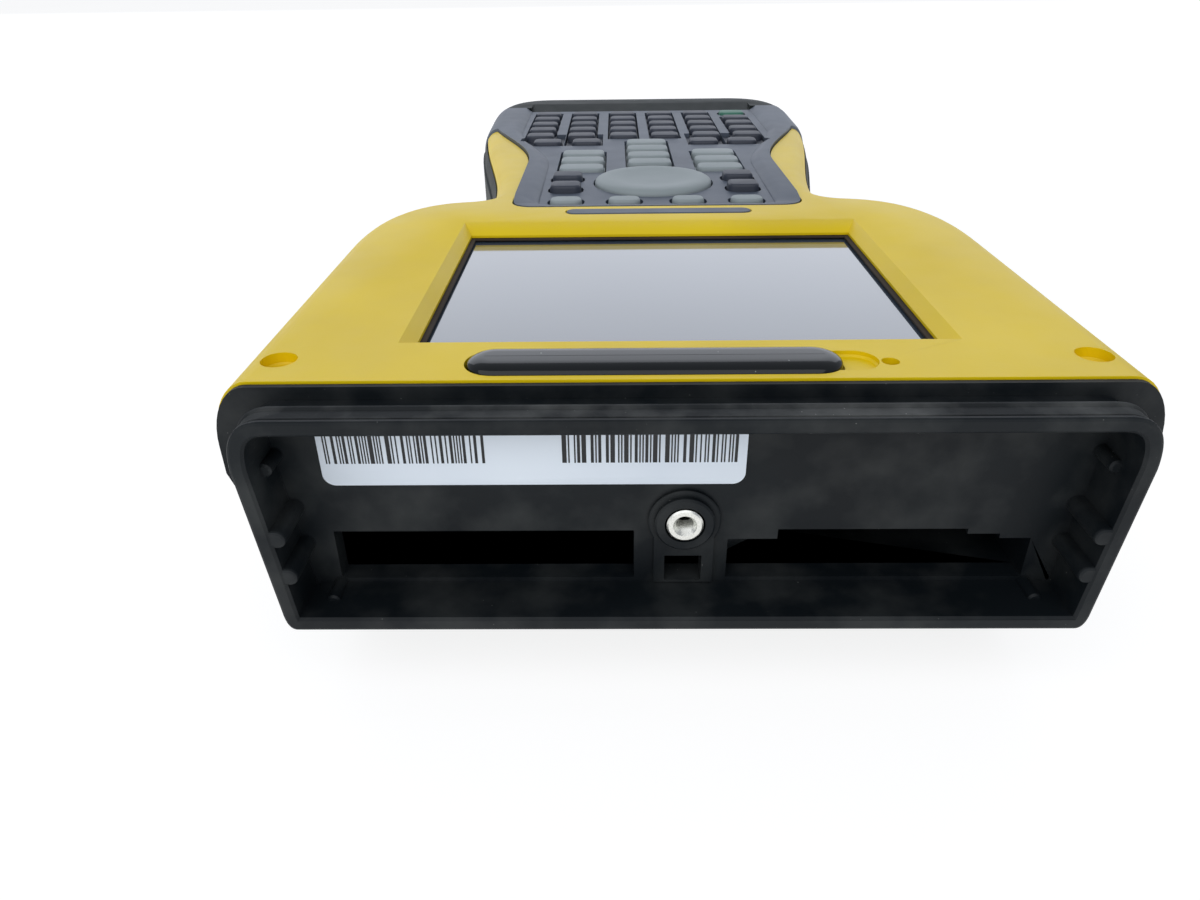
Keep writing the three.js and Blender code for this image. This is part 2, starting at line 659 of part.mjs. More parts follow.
function keypadSurround() {
  let plate = crown(RAIL_TOP, 0).intersect(prism(surroundShape(0), SEAM_GRIP + 0.2, 4));
  plate = plate.intersect(prismAlongX(SURROUND_PROFILE, WIDE));
  plate = plate.subtract(outsideGrip(LIP_START, LENGTH, -20, LIP_GROWTH - GAP));
  plate = plate.subtract(crown(0.3, WALL).intersect(box(-WIDE, WIDE, 90, LENGTH, -20, FLOOR_UNDER)));
  const slope = { thickness: 1.8, size: 2.6 };
  const well = prism(wellShape(), WELL_FLOOR, 12, slope);
  plate = plate.subtract(well.intersect(box(-WIDE, WIDE, 90, 270, -9, 4)));
  plate = plate.subtract(cylinder("z", PAD.radius + 0.4, -9, 2, PAD.x, PAD.y, 32));
  for (const key of [...FUNCTION_KEYS, ...SIDE_KEYS, POWER_KEY]) {
    plate = plate.subtract(prism(keyShape(key, 0.35, 0.4), -9, 2, { curve: 2 }));
  }
  for (const { keys } of [...NUMBER_COLUMNS, ...LETTER_COLUMNS]) plate = plate.subtract(stripSlot(keys));
  return plate;
}

function navigationPad() {
  const { x, y, radius } = PAD;
  const profile = [
    [0, WEB.low],
    [radius, WEB.low],
    [radius, -0.1],
    [radius - 1.2, 0.7],
    [radius - 3, 0.9],
    [5, 0.3],
    [0, 0.1],
  ];
  const geometry = new THREE.LatheGeometry(
    profile.map(([r, z]) => new THREE.Vector2(r, z)),
    32,
  );
  geometry.rotateX(Math.PI / 2);
  geometry.translate(x, y, 0);
  return solidOf(geometry);
}

function keypad() {
  piece("keypad_surround", keypadSurround(), GREY);
  piece("navigation_pad", navigationPad(), KEY_LIGHT);
  FUNCTION_KEYS.forEach((key, i) => {
    piece(`function_key_${i + 1}`, keyCap(key, WEB.low, KEY_TOP, 0.36), KEY_LIGHT);
  });
  const sides = ["left_near", "left_far", "right_near", "right_far"];
  SIDE_KEYS.forEach((key, i) => {
    piece(`side_key_${sides[i]}`, keyCap(key, WEB.low, SIDE_KEY_TOP, 0.3), KEY_DARK);
  });
  const columns = ["left", "middle", "right"];
  NUMBER_COLUMNS.forEach(({ keys }, i) => {
    piece(`number_keys_${columns[i]}`, keyStrip(keys, KEY_TOP, 0.3), KEY_LIGHT);
  });
  LETTER_COLUMNS.forEach(({ keys }, i) => {
    piece(`letter_keys_${i + 1}`, keyStrip(keys, KEY_TOP, 0.3), KEY_DARK);
  });
  piece("power_key", keyCap(POWER_KEY, WEB.low, KEY_TOP, 0.3), KEY_GREEN);
  piece("keypad_mat", prism(matShape(0), -5.3, -4.1), RUBBER);
  piece("keypad_board", prism(matShape(1), -7.3, -5.7), BOARD);
}

// The rubber sheet and board under the keys follow the grip's outline.
function matShape(inset) {
  const path = new THREE.Path();
  path.moveTo(30 - inset, 103.5 + inset);
  path.lineTo(31 - inset, 148);
  path.lineTo(42 - inset, 200);
  path.lineTo(42.5 - inset, 238 - inset);
  return mirrored(path, 1);
}

keypad();

// ---------------------------------------------------------------- boards and sound

piece("main_board", box(-50, 50, 16, 100, -20, -18.4), BOARD);
piece("speaker", cylinder("z", 10, -20, -15, 18, 220, 20), STEEL);

// ---------------------------------------------------------------- end boot and ports

const PORT_Z = -15;
const BOOT_TOP = 0.8;
const COVER_FACE = 263.2;
const COVERS = [
  { name: "power_cover", x0: -32.5, x1: -19 },
  { name: "serial_cover", x0: -17, x1: 17 },
  { name: "usb_cover", x0: 19, x1: 32.5 },
];
const COVER_HINGE = { y: 264.6, z: -22.8, radius: 1.2 };

function endBoot() {
  const far = LENGTH + 1;
  const length = [[BOOT_START, 10], [BOOT_START, -60], [far, -60], [far, 10]];
  const outer = crown(BOOT_TOP, 0).intersect(keel(GRIP, length, 0));
  const hollow = [[240, 10], [240, -60], [LENGTH - 6, -60], [LENGTH - 6, 10]];
  let boot = outer.subtract(crown(-1.8, WALL + 0.6).intersect(keel(GRIP, hollow, WALL + 0.6)));
  const slope = [[240, 3], [240, -1.4], [242.4, -1.4], [250, RAIL_TOP], [250, 3]];
  boot = boot.subtract(prismAlongX(slope, 40));
  for (const { x0, x1 } of COVERS) {
    boot = boot.subtract(box(x0 - GAP, x1 + GAP, COVER_FACE, far, COVER_HINGE.z - 1.5, -6));
  }
  boot = boot.subtract(box(-15.6, 15.6, 250, far, PORT_Z - 6.3, PORT_Z + 6.3));
  boot = boot.subtract(box(19.6, 31.4, 250, far, PORT_Z - 5, PORT_Z + 5));
  boot = boot.subtract(cylinder("y", 4.6, 250, far, -25.6, PORT_Z, 16));
  return boot;
}

// Rubber flap with a round lower edge that it turns about.
function portCover({ name, x0, x1 }) {
  const { y, z, radius } = COVER_HINGE;
  const flap = box(x0, x1, y - radius, y + radius, z, -6.4).add(cylinder("x", radius, x0, x1, y, z, 12));
  piece(name, flap, RUBBER);
}

function ports() {
  piece("end_boot", endBoot(), BOOT);
  COVERS.forEach(portCover);
  const plug = box(-15.2, 15.2, 252, 262.4, PORT_Z - 5.9, PORT_Z + 5.9);
  const pins = [];
  for (let i = 0; i < 9; i += 1) {
    const upper = i < 5;
    const x = upper ? (i - 2) * 2.77 : (i - 6.5) * 2.77;
    pins.push(cylinder("y", 0.5, 253, 261.5, x, PORT_Z + (upper ? 1.4 : -1.4), 6));
  }
  const well = prismAlongY(roundedRectangle(-8.5, 8.5, PORT_Z - 4.2, PORT_Z + 4.2, 2), 255, 264);
  piece("serial_connector", pins.reduce((all, pin) => all.add(pin), plug.subtract(well)), STEEL);
  const usb = box(20, 31, 252, 262.4, PORT_Z - 4.6, PORT_Z + 4.6);
  const mouth = box(21.2, 29.8, 254, 264, PORT_Z - 3.4, PORT_Z + 3.4);
  const tongue = box(22.4, 28.6, 253.8, 261, PORT_Z - 0.9, PORT_Z + 0.9);
  piece("usb_port", usb.subtract(mouth).add(tongue), STEEL);
  const jack = cylinder("y", 4.2, 252, 262.4, -25.6, PORT_Z, 16);
  const socket = cylinder("y", 2.9, 254, 264, -25.6, PORT_Z, 16);
  piece("power_jack", jack.subtract(socket).add(cylinder("y", 0.9, 253, 261, -25.6, PORT_Z, 8)), BLACK);
}

ports();

export default device;
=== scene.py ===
"""Looks for a rugged handheld data collector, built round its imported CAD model.

Every outline is drawn in millimetres: x across the width, y from the card-bay rim towards the keypad end,
and z up from the display face. The function place() turns that into the frame's metres.
"""

import math
import random

import bmesh
import bpy
from mathutils import Matrix, Vector


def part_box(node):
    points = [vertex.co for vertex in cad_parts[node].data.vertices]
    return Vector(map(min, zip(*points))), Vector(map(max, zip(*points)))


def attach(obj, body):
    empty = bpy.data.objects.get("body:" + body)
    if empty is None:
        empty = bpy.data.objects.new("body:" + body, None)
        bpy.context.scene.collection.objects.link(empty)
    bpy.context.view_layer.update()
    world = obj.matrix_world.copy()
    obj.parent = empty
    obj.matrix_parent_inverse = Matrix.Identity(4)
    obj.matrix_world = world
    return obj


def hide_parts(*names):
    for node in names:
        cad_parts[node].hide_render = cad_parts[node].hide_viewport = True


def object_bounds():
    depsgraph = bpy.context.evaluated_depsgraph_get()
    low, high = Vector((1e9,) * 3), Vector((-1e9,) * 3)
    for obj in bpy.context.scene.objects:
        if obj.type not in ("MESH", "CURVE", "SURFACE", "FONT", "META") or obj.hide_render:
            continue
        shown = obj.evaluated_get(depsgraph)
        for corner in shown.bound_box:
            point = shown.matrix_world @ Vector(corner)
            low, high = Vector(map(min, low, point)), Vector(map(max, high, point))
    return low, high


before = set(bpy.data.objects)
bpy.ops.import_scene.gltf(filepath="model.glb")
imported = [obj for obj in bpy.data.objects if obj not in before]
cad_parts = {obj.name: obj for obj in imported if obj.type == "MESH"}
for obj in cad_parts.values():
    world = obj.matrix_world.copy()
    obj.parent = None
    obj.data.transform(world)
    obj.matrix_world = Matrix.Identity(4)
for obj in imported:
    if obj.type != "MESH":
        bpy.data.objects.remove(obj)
CAD_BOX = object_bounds()

bl_info = {
    "name": "Data collector looks",
    "version": (1, 0, 0),
    "blender": (4, 5, 0),
    "location": "3D View > Sidebar > Collector",
    "description": "Moulded cases, keys, display, card bay and studio for a handheld data collector",
    "category": "Object",
}

MM = 0.001
RIM_Y = CAD_BOX[0][1]
FACE_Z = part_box("front_case")[1].z

# Case outline, in mm
LENGTH = 266
WIDE = 80  # half width of the blocks that cut right across the case
SIDE_ROUND = 5.5
SIDE_ROUND_DEPTH = 9.0
WALL = 2.4
GAP = 0.3
CASE_START = 9.3
BOOT_START = 241.3
SEAM_HEAD = -14.0
SEAM_GRIP = -8.0
HUMP = {"bottom": -47.0, "depth": 33.0, "size": 11.5, "offset": -6.0, "edge": 2.4}
GRIP = {"bottom": -39.0, "depth": 18.0, "size": 8.0, "offset": -2.0, "edge": 0.0}
GRIP_START = 106.0
RAIL_TOP = 0.9
CHEEK_START = 118.0
CHEEK_LOW = -13.0
LIP_START = 204.5
LIP_GROWTH = 4.4
NECK_BOTTOM = -35.7
BAY_FLOOR = 8.7
BOOT_TOP = 0.8
CURVE_STEPS = 16
ROUND_STEPS = 10

# Rectangles as (x0, x1, y0, y1) for the window and (x0, x1, low, high) for the card slots
WINDOW = (-39.9, 39.3, 24.5, 84.8)
WINDOW_RIM = (-41.7, 41.1, 22.4, 88.2)
LEFT_SLOT = (-51.4, -7, -32.8, -24.2)
RIGHT_SLOT = (6.8, 51.2, -32.8, -25.8)
RIGHT_SLOT_STEPS = ((14.1, 41.8, -32.8, -24.1), (41.7, 46.6, -32.8, -25))
SLEEVE_END = 48
INSERT_X = 0.3
INSERT_Z = -22.3

# Battery door and its pin, in y and z, and the covers' pin
DOOR_PIN = (137.4, -44.6)
DOOR_SCREW_Y = 68
COVER_PIN = (264.6, -22.8)
PORT_Z = -15

SHARP = math.radians(38)  # edges that turn more than this are softened
FLAT = math.radians(0.3)  # faces that turn less than this are one flat area


# ------------------------------------------------------------------ outlines

def place(x, y, z):
    """A drawn point in millimetres as a point of the frame in metres."""
    return Vector((x * MM, RIM_Y + y * MM, FACE_Z + z * MM))


def drawn_box(node):
    """Lowest and highest corner of a CAD node, as drawn in millimetres."""
    return [(p.x / MM, (p.y - RIM_Y) / MM, (p.z - FACE_Z) / MM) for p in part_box(node)]


def trace(*steps):
    """Points of an open outline. Two numbers are a straight line's end, six a curve's handles and end."""
    points = []
    for step in steps:
        if len(step) == 2:
            points.append(Vector(step))
            continue
        start = points[-1]
        near, far, end = (Vector(step[i:i + 2]) for i in (0, 2, 4))
        for i in range(1, CURVE_STEPS + 1):
            t = i / CURVE_STEPS
            s = 1 - t
            points.append(start * s**3 + near * (3 * s * s * t) + far * (3 * s * t * t) + end * t**3)
    return points


def mirrored(right):
    """Closes a right-hand outline with its mirror image."""
    return right + [Vector((-p.x, p.y)) for p in reversed(right)]


def rounded(x0, x1, y0, y1, radius, steps=8):
    """A rectangle with round corners."""
    points = []
    for quarter, (x, y) in enumerate(((x1, y0), (x1, y1), (x0, y1), (x0, y0))):
        middle = Vector((x - radius if x == x1 else x + radius, y - radius if y == y1 else y + radius))
        for i in range(steps + 1):
            turn = math.pi / 2 * (quarter - 1 + i / steps)
            points.append(middle + radius * Vector((math.cos(turn), math.sin(turn))))
    return points


def circle(x, y, radius, steps):
    """A round outline."""
    turns = (2 * math.pi * i / steps for i in range(steps))
    return [Vector((x + radius * math.cos(a), y + radius * math.sin(a))) for a in turns]


def grown(points, distance):
    """A closed outline moved outwards, square to its own edge."""
    moved = []
    for i, here in enumerate(points):
        before = (here - points[i - 1]).normalized()
        after = (points[(i + 1) % len(points)] - here).normalized()
        square = Vector((before.y + after.y, -before.x - after.x))
        moved.append(here + square * (2 * distance / max(square.length_squared, 0.5)))
    return moved


def face_outline():
    """The flat display face: wide head, narrow waist, and a grip that widens to the keypad end."""
    return mirrored(trace(
        (59.5, -12),
        (59.5, 74),
        (59.5, 90, 56, 103.5, 43.5, 105.5),
        (38, 106.4, 34.9, 110, 34.9, 117),
        (34.9, 140, 43.8, 168, 47.5, 205),
        (48.3, 228),
        (49, 246, 46, 260.5, 33, 260.5),
    ))


def surround_outline(grow=0.0):
    """The keypad surround from above, with clearance round it."""
    side = 33 + grow
    near = 101 - grow
    return mirrored(trace(
        (side - 5, near),
        (side - 2, near, side, near + 2, side, near + 5),
        (side, 146),
        (side, 165, 42 + grow, 180, 47.2 + grow, 198),
        (66, 214),
        (66, 262),
    ))


def well_outline():
    """The sunken floor of the keypad."""
    return mirrored(trace(
        (22, 102.9),
        (26, 102.9, 27.2, 103.5, 27.2, 107),
        (27.6, 148),
        (28.5, 162, 36, 176, 39.4, 196),
        (40, 260),
    ))


def neck_outline():
    """The card-bay neck from its end: square shoulders and sides that lean in to small lower corners."""
    return mirrored(trace(
        (56, NECK_BOTTOM),
        (57.2, NECK_BOTTOM, 57.7, NECK_BOTTOM + 1.4, 57.8, NECK_BOTTOM + 3.2),
        (60.1, -9),
        (60.2, -4, 58.6, -1.4, 54.4, -1.4),
    ))


# ------------------------------------------------------------------ solids

def loft(rings):
    """A closed solid through rings of as many points each, with a flat face at both ends."""
    shape = bmesh.new()
    loops = [[shape.verts.new(place(*point)) for point in ring] for ring in rings]
    for low, high in zip(loops, loops[1:]):
        for i, start in enumerate(low):
            j = (i + 1) % len(low)
            shape.faces.new((start, low[j], high[j], high[i]))
    shape.faces.new(loops[0])
    shape.faces.new(loops[-1])
    bmesh.ops.recalc_face_normals(shape, faces=shape.faces)
    mesh = bpy.data.meshes.new("solid")
    shape.to_mesh(mesh)
    shape.free()
    solid = bpy.data.objects.new("solid", mesh)
    bpy.context.scene.collection.objects.link(solid)
    return solid


def upright(points, levels):
    """An outline in x and y, carried through levels of (z, growth)."""
    return loft([[(p.x, p.y, z) for p in grown(points, grow)] for z, grow in levels])


def endways(points, levels):
    """An outline in x and z, carried through levels of (y, growth)."""
    return loft([[(p.x, y, p.y) for p in grown(points, grow)] for y, grow in levels])


def sideways(points, x0, x1):
    """A side profile in y and z, carried from x0 to x1."""
    return loft([[(x, y, z) for y, z in points] for x in (x0, x1)])


def block(x0, x1, y0, y1, z0, z1):
    """A square-edged block, used to cut and to join."""
    return sideways(((y0, z0), (y1, z0), (y1, z1), (y0, z1)), x0, x1)


def corners(rectangle, z):
    """The four corners of a rectangle (x0, x1, y0, y1) at one height."""
    x0, x1, y0, y1 = rectangle
    return [(x0, y0, z), (x1, y0, z), (x1, y1, z), (x0, y1, z)]


def turned(profile, x, y, axis="z", steps=48):
    """A solid turned about an axis from a profile of (radius, distance along it)."""
    rings = []
    for radius, along in profile:
        ring = circle(x, y, radius, steps)
        if axis == "z":
            rings.append([(p.x, p.y, along) for p in ring])
        elif axis == "y":
            rings.append([(p.x, along, p.y) for p in ring])
        else:
            rings.append([(along, p.x, p.y) for p in ring])
    return loft(rings)


def combine(body, tools, operation):
    """Cuts, joins or keeps with tools, and uses them up."""
    for tool in tools:
        step = body.modifiers.new(operation, "BOOLEAN")
        step.operation = operation
        step.solver = "MANIFOLD"
        step.object = tool
    bpy.context.view_layer.update()
    result = bpy.data.meshes.new_from_object(body.evaluated_get(bpy.context.evaluated_depsgraph_get()))
    body.modifiers.clear()
    spent = body.data
    body.data = result
    bpy.data.meshes.remove(spent)
    for tool in tools:
        mesh = tool.data
        bpy.data.objects.remove(tool)
        bpy.data.meshes.remove(mesh)
    if not result.polygons:
        raise RuntimeError(f"{operation} left nothing")
    return body


def less(body, *tools):
    """The body with the tools cut away."""
    return combine(body, tools, "DIFFERENCE")


def plus(body, *tools):
    """The body joined to the tools."""
    return combine(body, tools, "UNION")


def within(body, *tools):
    """The part of the body inside every tool."""
    return combine(body, tools, "INTERSECT")


def crown(top, inset=0.0):
    """Upper skin of the case, with its sides swelling out below the face."""
    levels = [(-60.0, SIDE_ROUND - inset)]
    for i in range(ROUND_STEPS + 1):
        turn = math.pi / 2 * (1 - i / ROUND_STEPS)
        height = top - inset - SIDE_ROUND_DEPTH * (1 - math.cos(turn))
        levels.append((height, (SIDE_ROUND - inset) * math.sin(turn)))
    return upright(face_outline(), levels)


def keel(zone, profile, inset=0.0):
    """Lower skin of the case under one zone, kept inside a side profile.

    A zone with an edge has straight sides that lean in to a rounded edge. One without is round throughout."""
    levels = []
    edge = zone["edge"]
    for i in range(ROUND_STEPS + 1):
        turn = math.pi / 2 * i / ROUND_STEPS
        if edge:
            rise = edge * (1 - math.cos(turn))
            draw = zone["size"] * rise / zone["depth"] - edge * 0.7 * (1 - math.sin(turn))
        else:
            rise = zone["depth"] * (1 - math.cos(turn))
            draw = zone["size"] * math.sin(turn)
        levels.append((zone["bottom"] + inset + rise, zone["offset"] - inset + draw))
    if edge:
        levels.append((zone["bottom"] + inset + zone["depth"], zone["offset"] - inset + zone["size"]))
    levels.append((12.0, levels[-1][1]))
    return within(upright(face_outline(), levels), sideways(profile, -WIDE, WIDE))


def lower_body(end, inset=0.0):
    """The deep head with the battery hump, joined to the slimmer grip."""
    start = CASE_START - 5
    neck = NECK_BOTTOM - 0.6 + inset * 0.7
    front = ((start, 10), (start, neck), (CASE_START, neck))
    hump_floor = HUMP["bottom"] - 0.1 + inset
    grip_floor = GRIP["bottom"] - 0.1 + inset
    hump = (*front, (20 + inset, hump_floor), (150 - inset, hump_floor),
            (164 - inset, grip_floor + 0.1), (164 - inset, 10))
    grip = ((GRIP_START, 10), (GRIP_START, grip_floor), (end, grip_floor), (end, 10))
    return plus(keel(HUMP, hump, inset), keel(GRIP, grip, inset))


def seam_side(lift, start, end, limit):
    """Everything above or below the line where the two cases meet, as far as a limiting height."""
    return sideways((
        (start, SEAM_HEAD + lift),
        (100, SEAM_HEAD + lift),
        (135, SEAM_GRIP + lift),
        (end, SEAM_GRIP + lift),
        (end, limit),
        (start, limit),
    ), -WIDE, WIDE)


def outside_grip(start, end, low, growth):
    """Everything outside the face outline grown by so much."""
    inside = upright(face_outline(), [(-60, growth), (12, growth)])
    return less(block(-WIDE, WIDE, start, end, low, 5), inside)


def pillow(points, low, top, drop, draw):
    """A key cap: straight sides, rounded shoulders and a slightly crowned top."""
    levels = [(low, 0.0), (top - drop, -0.35 * draw)]
    for i in range(1, 6):
        turn = math.pi / 2 * i / 5
        levels.append((top - drop * (1 - math.sin(turn)), -draw * (0.35 + 0.65 * (1 - math.cos(turn)))))
    return upright(points, levels)


def show(solid, name, material, body, edge=0.25, node=(), smooth=True):
    """Names a finished solid, softens its edges, gives its material and hangs it on its CAD body.

    A solid that isn't smooth is shaded by its true faces."""
    solid.name = name
    solid.data.name = name
    solid.data.materials.clear()
    solid.data.materials.append(material)
    shape = bmesh.new()
    shape.from_mesh(solid.data)
    bmesh.ops.remove_doubles(shape, verts=shape.verts, dist=0.01 * MM)
    bmesh.ops.dissolve_degenerate(shape, edges=shape.edges, dist=0.004 * MM)
    # Flat areas lose the needless edges left by the cuts, so that the softened edges stay clean.
    bmesh.ops.dissolve_limit(shape, angle_limit=FLAT, verts=shape.verts, edges=shape.edges)
    for face in shape.faces:
        face.smooth = smooth
    shape.to_mesh(solid.data)
    shape.free()
    if edge:
        soften = solid.modifiers.new("moulded edges", "BEVEL")
        soften.width = edge * MM
        soften.segments = 2
        soften.limit_method = "ANGLE"
        soften.angle_limit = SHARP
        soften.harden_normals = smooth
        soften.miter_outer = "MITER_ARC"
    else:
        solid.data.set_sharp_from_angle(angle=SHARP)
    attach(solid, body)
    if node:
        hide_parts(*node)


def dress(node, material):
    """Gives a CAD node that keeps its own shape a finished material."""
    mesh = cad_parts[node].data
    mesh.materials.clear()
    mesh.materials.append(material)


# ------------------------------------------------------------------ materials

def linear(code):
    """Linear colour of an sRGB hex value."""
    parts = (int(code[i:i + 2], 16) / 255 for i in (1, 3, 5))
    return (*(p / 12.92 if p <= 0.04045 else ((p + 0.055) / 1.055) ** 2.4 for p in parts), 1.0)


def add(material, kind, sockets=None, stops=(), **settings):
    """Adds a node. A socket takes a value, or a pair of a node and the output that feeds it.

    Stops are the (place, value) pairs of a colour ramp, each value a colour or one number."""
    made = material.node_tree.nodes.new("ShaderNode" + kind)
    for i, (at, value) in enumerate(stops):
        stop = made.color_ramp.elements[i] if i < 2 else made.color_ramp.elements.new(at)
        stop.position = at
        stop.color = value if isinstance(value, tuple) else (value, value, value, 1.0)
    for name, value in settings.items():
        setattr(made, name, value)
    for socket, value in (sockets or {}).items():
        if isinstance(value, tuple) and isinstance(value[0], bpy.types.Node):
            material.node_tree.links.new(value[0].outputs[value[1]], made.inputs[socket])
        else:
            made.inputs[socket].default_value = value
    return made


def surface(name):
    """A new node material, with its shader and its object coordinates in metres."""
    material = bpy.data.materials.new(name)
    material.use_nodes = True
    shader = material.node_tree.nodes["Principled BSDF"]
    coords = add(material, "TexCoord")
    return material, shader, (coords, "Object")


def join(material, source, output, shader, socket):
    """Links one node's output to a shader's socket."""
    material.node_tree.links.new(source.outputs[output], shader.inputs[socket])


def moulded(name, colour, shade, rough, grain=0.5, depth=0.02, dust=0.0, dust_colour="#B9BBB6", level=0.5,
            speck=2.2):
    """A moulded plastic or rubber: slow drift in colour, fine texture from the tool, and settled dust.

    grain is the size of the moulded texture in mm, depth its height in mm, dust how much lies on it, level
    how strongly the skin reflects, and speck the distance between specks of dust in mm."""
    material, shader, coords = surface(name)
    drift = add(material, "TexNoise", {"Vector": coords, "Scale": 1 / (28 * MM), "Detail": 3.0})
    tone = add(material, "ValToRGB", {"Fac": (drift, "Fac")}, ((0.32, shade), (0.68, colour)))
    base = (tone, "Color")
    if dust:
        cells = add(material, "TexVoronoi", {"Vector": coords, "Scale": 1 / (speck * MM)})
        spots = add(material, "ValToRGB", {"Fac": (cells, "Distance")}, ((0.03, 1.0), (0.08, 0.0)))
        chosen = add(material, "ValToRGB", {"Fac": (cells, "Color")}, ((0.62, 0.0), (0.72, 1.0)))
        patches = add(material, "TexNoise", {"Vector": coords, "Scale": 1 / (9 * MM), "Detail": 4.0})
        where = add(material, "ValToRGB", {"Fac": (patches, "Fac")}, ((0.42, 0.0), (0.7, dust)))
        lone = add(material, "Math", {0: (spots, "Color"), 1: (chosen, "Color")}, operation="MULTIPLY")
        cover = add(material, "Math", {0: (lone, 0), 1: (where, "Color")}, operation="MULTIPLY")
        film = add(material, "Math", {0: (where, "Color"), 1: 0.07}, operation="MULTIPLY")
        total = add(material, "Math", {0: (cover, 0), 1: (film, 0)}, operation="ADD", use_clamp=True)
        mixed = add(material, "Mix", {0: (total, 0), 6: base, 7: linear(dust_colour)}, data_type="RGBA")
        base = (mixed, 2)
    join(material, base[0], base[1], shader, "Base Color")
    wear = add(material, "TexNoise", {"Vector": coords, "Scale": 1 / (6 * MM), "Detail": 5.0})
    gloss = add(material, "ValToRGB", {"Fac": (wear, "Fac")}, ((0.3, rough - 0.02), (0.7, rough + 0.03)))
    join(material, gloss, "Color", shader, "Roughness")
    tool = add(material, "TexNoise", {"Vector": coords, "Scale": 1 / (grain * MM), "Detail": 2.0})
    bump = add(material, "Bump", {"Height": (tool, "Fac"), "Distance": depth * MM, "Strength": 1.0})
    join(material, bump, "Normal", shader, "Normal")
    shader.inputs["IOR"].default_value = 1.53
    shader.inputs["Specular IOR Level"].default_value = level
    return material


def turned_metal(name, colour, shade, rough, grain=0.25):
    """Metal with a fine uneven grain left by the tool or the plating. grain is its spacing in mm."""
    material, shader, coords = surface(name)
    tool = add(material, "TexNoise", {"Vector": coords, "Scale": 1 / (grain * MM), "Detail": 2.0})
    tone = add(material, "ValToRGB", {"Fac": (tool, "Fac")}, ((0.3, shade), (0.7, colour)))
    join(material, tone, "Color", shader, "Base Color")
    gloss = add(material, "ValToRGB", {"Fac": (tool, "Fac")}, ((0.3, rough), (0.7, rough + 0.12)))
    join(material, gloss, "Color", shader, "Roughness")
    bump = add(material, "Bump", {"Height": (tool, "Fac"), "Distance": 0.004 * MM})
    join(material, bump, "Normal", shader, "Normal")
    shader.inputs["Metallic"].default_value = 1.0
    return material


def touch_film():
    """Touch film over an unlit display: slate blue-grey and glossy, faintly cloudy and smeared by wiping."""
    material, shader, coords = surface("polyester_touch_film_gloss")
    cloud = add(material, "TexNoise", {"Vector": coords, "Scale": 1 / (60 * MM), "Detail": 2.0})
    clouds = ((0.3, linear("#3F4B58")), (0.7, linear("#4B5764")))
    tone = add(material, "ValToRGB", {"Fac": (cloud, "Fac")}, clouds)
    join(material, tone, "Color", shader, "Base Color")
    wipes = add(material, "Mapping", {"Vector": coords, "Scale": (1.0, 4.0, 1.0), "Rotation": (0, 0, 0.5)})
    smear = add(material, "TexNoise", {"Vector": (wipes, "Vector"), "Scale": 1 / (30 * MM), "Detail": 5.0})
    gloss = add(material, "ValToRGB", {"Fac": (smear, "Fac")}, ((0.35, 0.05), (0.75, 0.11)))
    join(material, gloss, "Color", shader, "Roughness")
    # Several films and air gaps reflect together, so the stack acts like one denser layer.
    shader.inputs["IOR"].default_value = 2.0
    shader.inputs["Coat Weight"].default_value = 1.0
    shader.inputs["Coat Roughness"].default_value = 0.04
    return material


def gloss_plate():
    """Doming resin over a dark print: glossy and a little hazy, with some dust caught on it."""
    material, shader, coords = surface("doming_resin_gloss_black")
    cells = add(material, "TexVoronoi", {"Vector": coords, "Scale": 1 / (1.6 * MM)})
    spots = add(material, "ValToRGB", {"Fac": (cells, "Distance")}, ((0.05, 1.0), (0.1, 0.0)))
    chosen = add(material, "ValToRGB", {"Fac": (cells, "Color")}, ((0.7, 0.0), (0.76, 1.0)))
    lone = add(material, "Math", {0: (spots, "Color"), 1: (chosen, "Color")}, operation="MULTIPLY")
    tone = add(material, "ValToRGB", {"Fac": (lone, 0)}, ((0.1, linear("#0A0E10")), (0.9, linear("#8E9690"))))
    join(material, tone, "Color", shader, "Base Color")
    haze = add(material, "TexNoise", {"Vector": coords, "Scale": 1 / (8 * MM), "Detail": 4.0})
    gloss = add(material, "ValToRGB", {"Fac": (haze, "Fac")}, ((0.35, 0.1), (0.7, 0.2)))
    join(material, gloss, "Color", shader, "Roughness")
    shader.inputs["IOR"].default_value = 1.4
    shader.inputs["Coat Weight"].default_value = 0.15
    shader.inputs["Coat Roughness"].default_value = 0.05
    return material


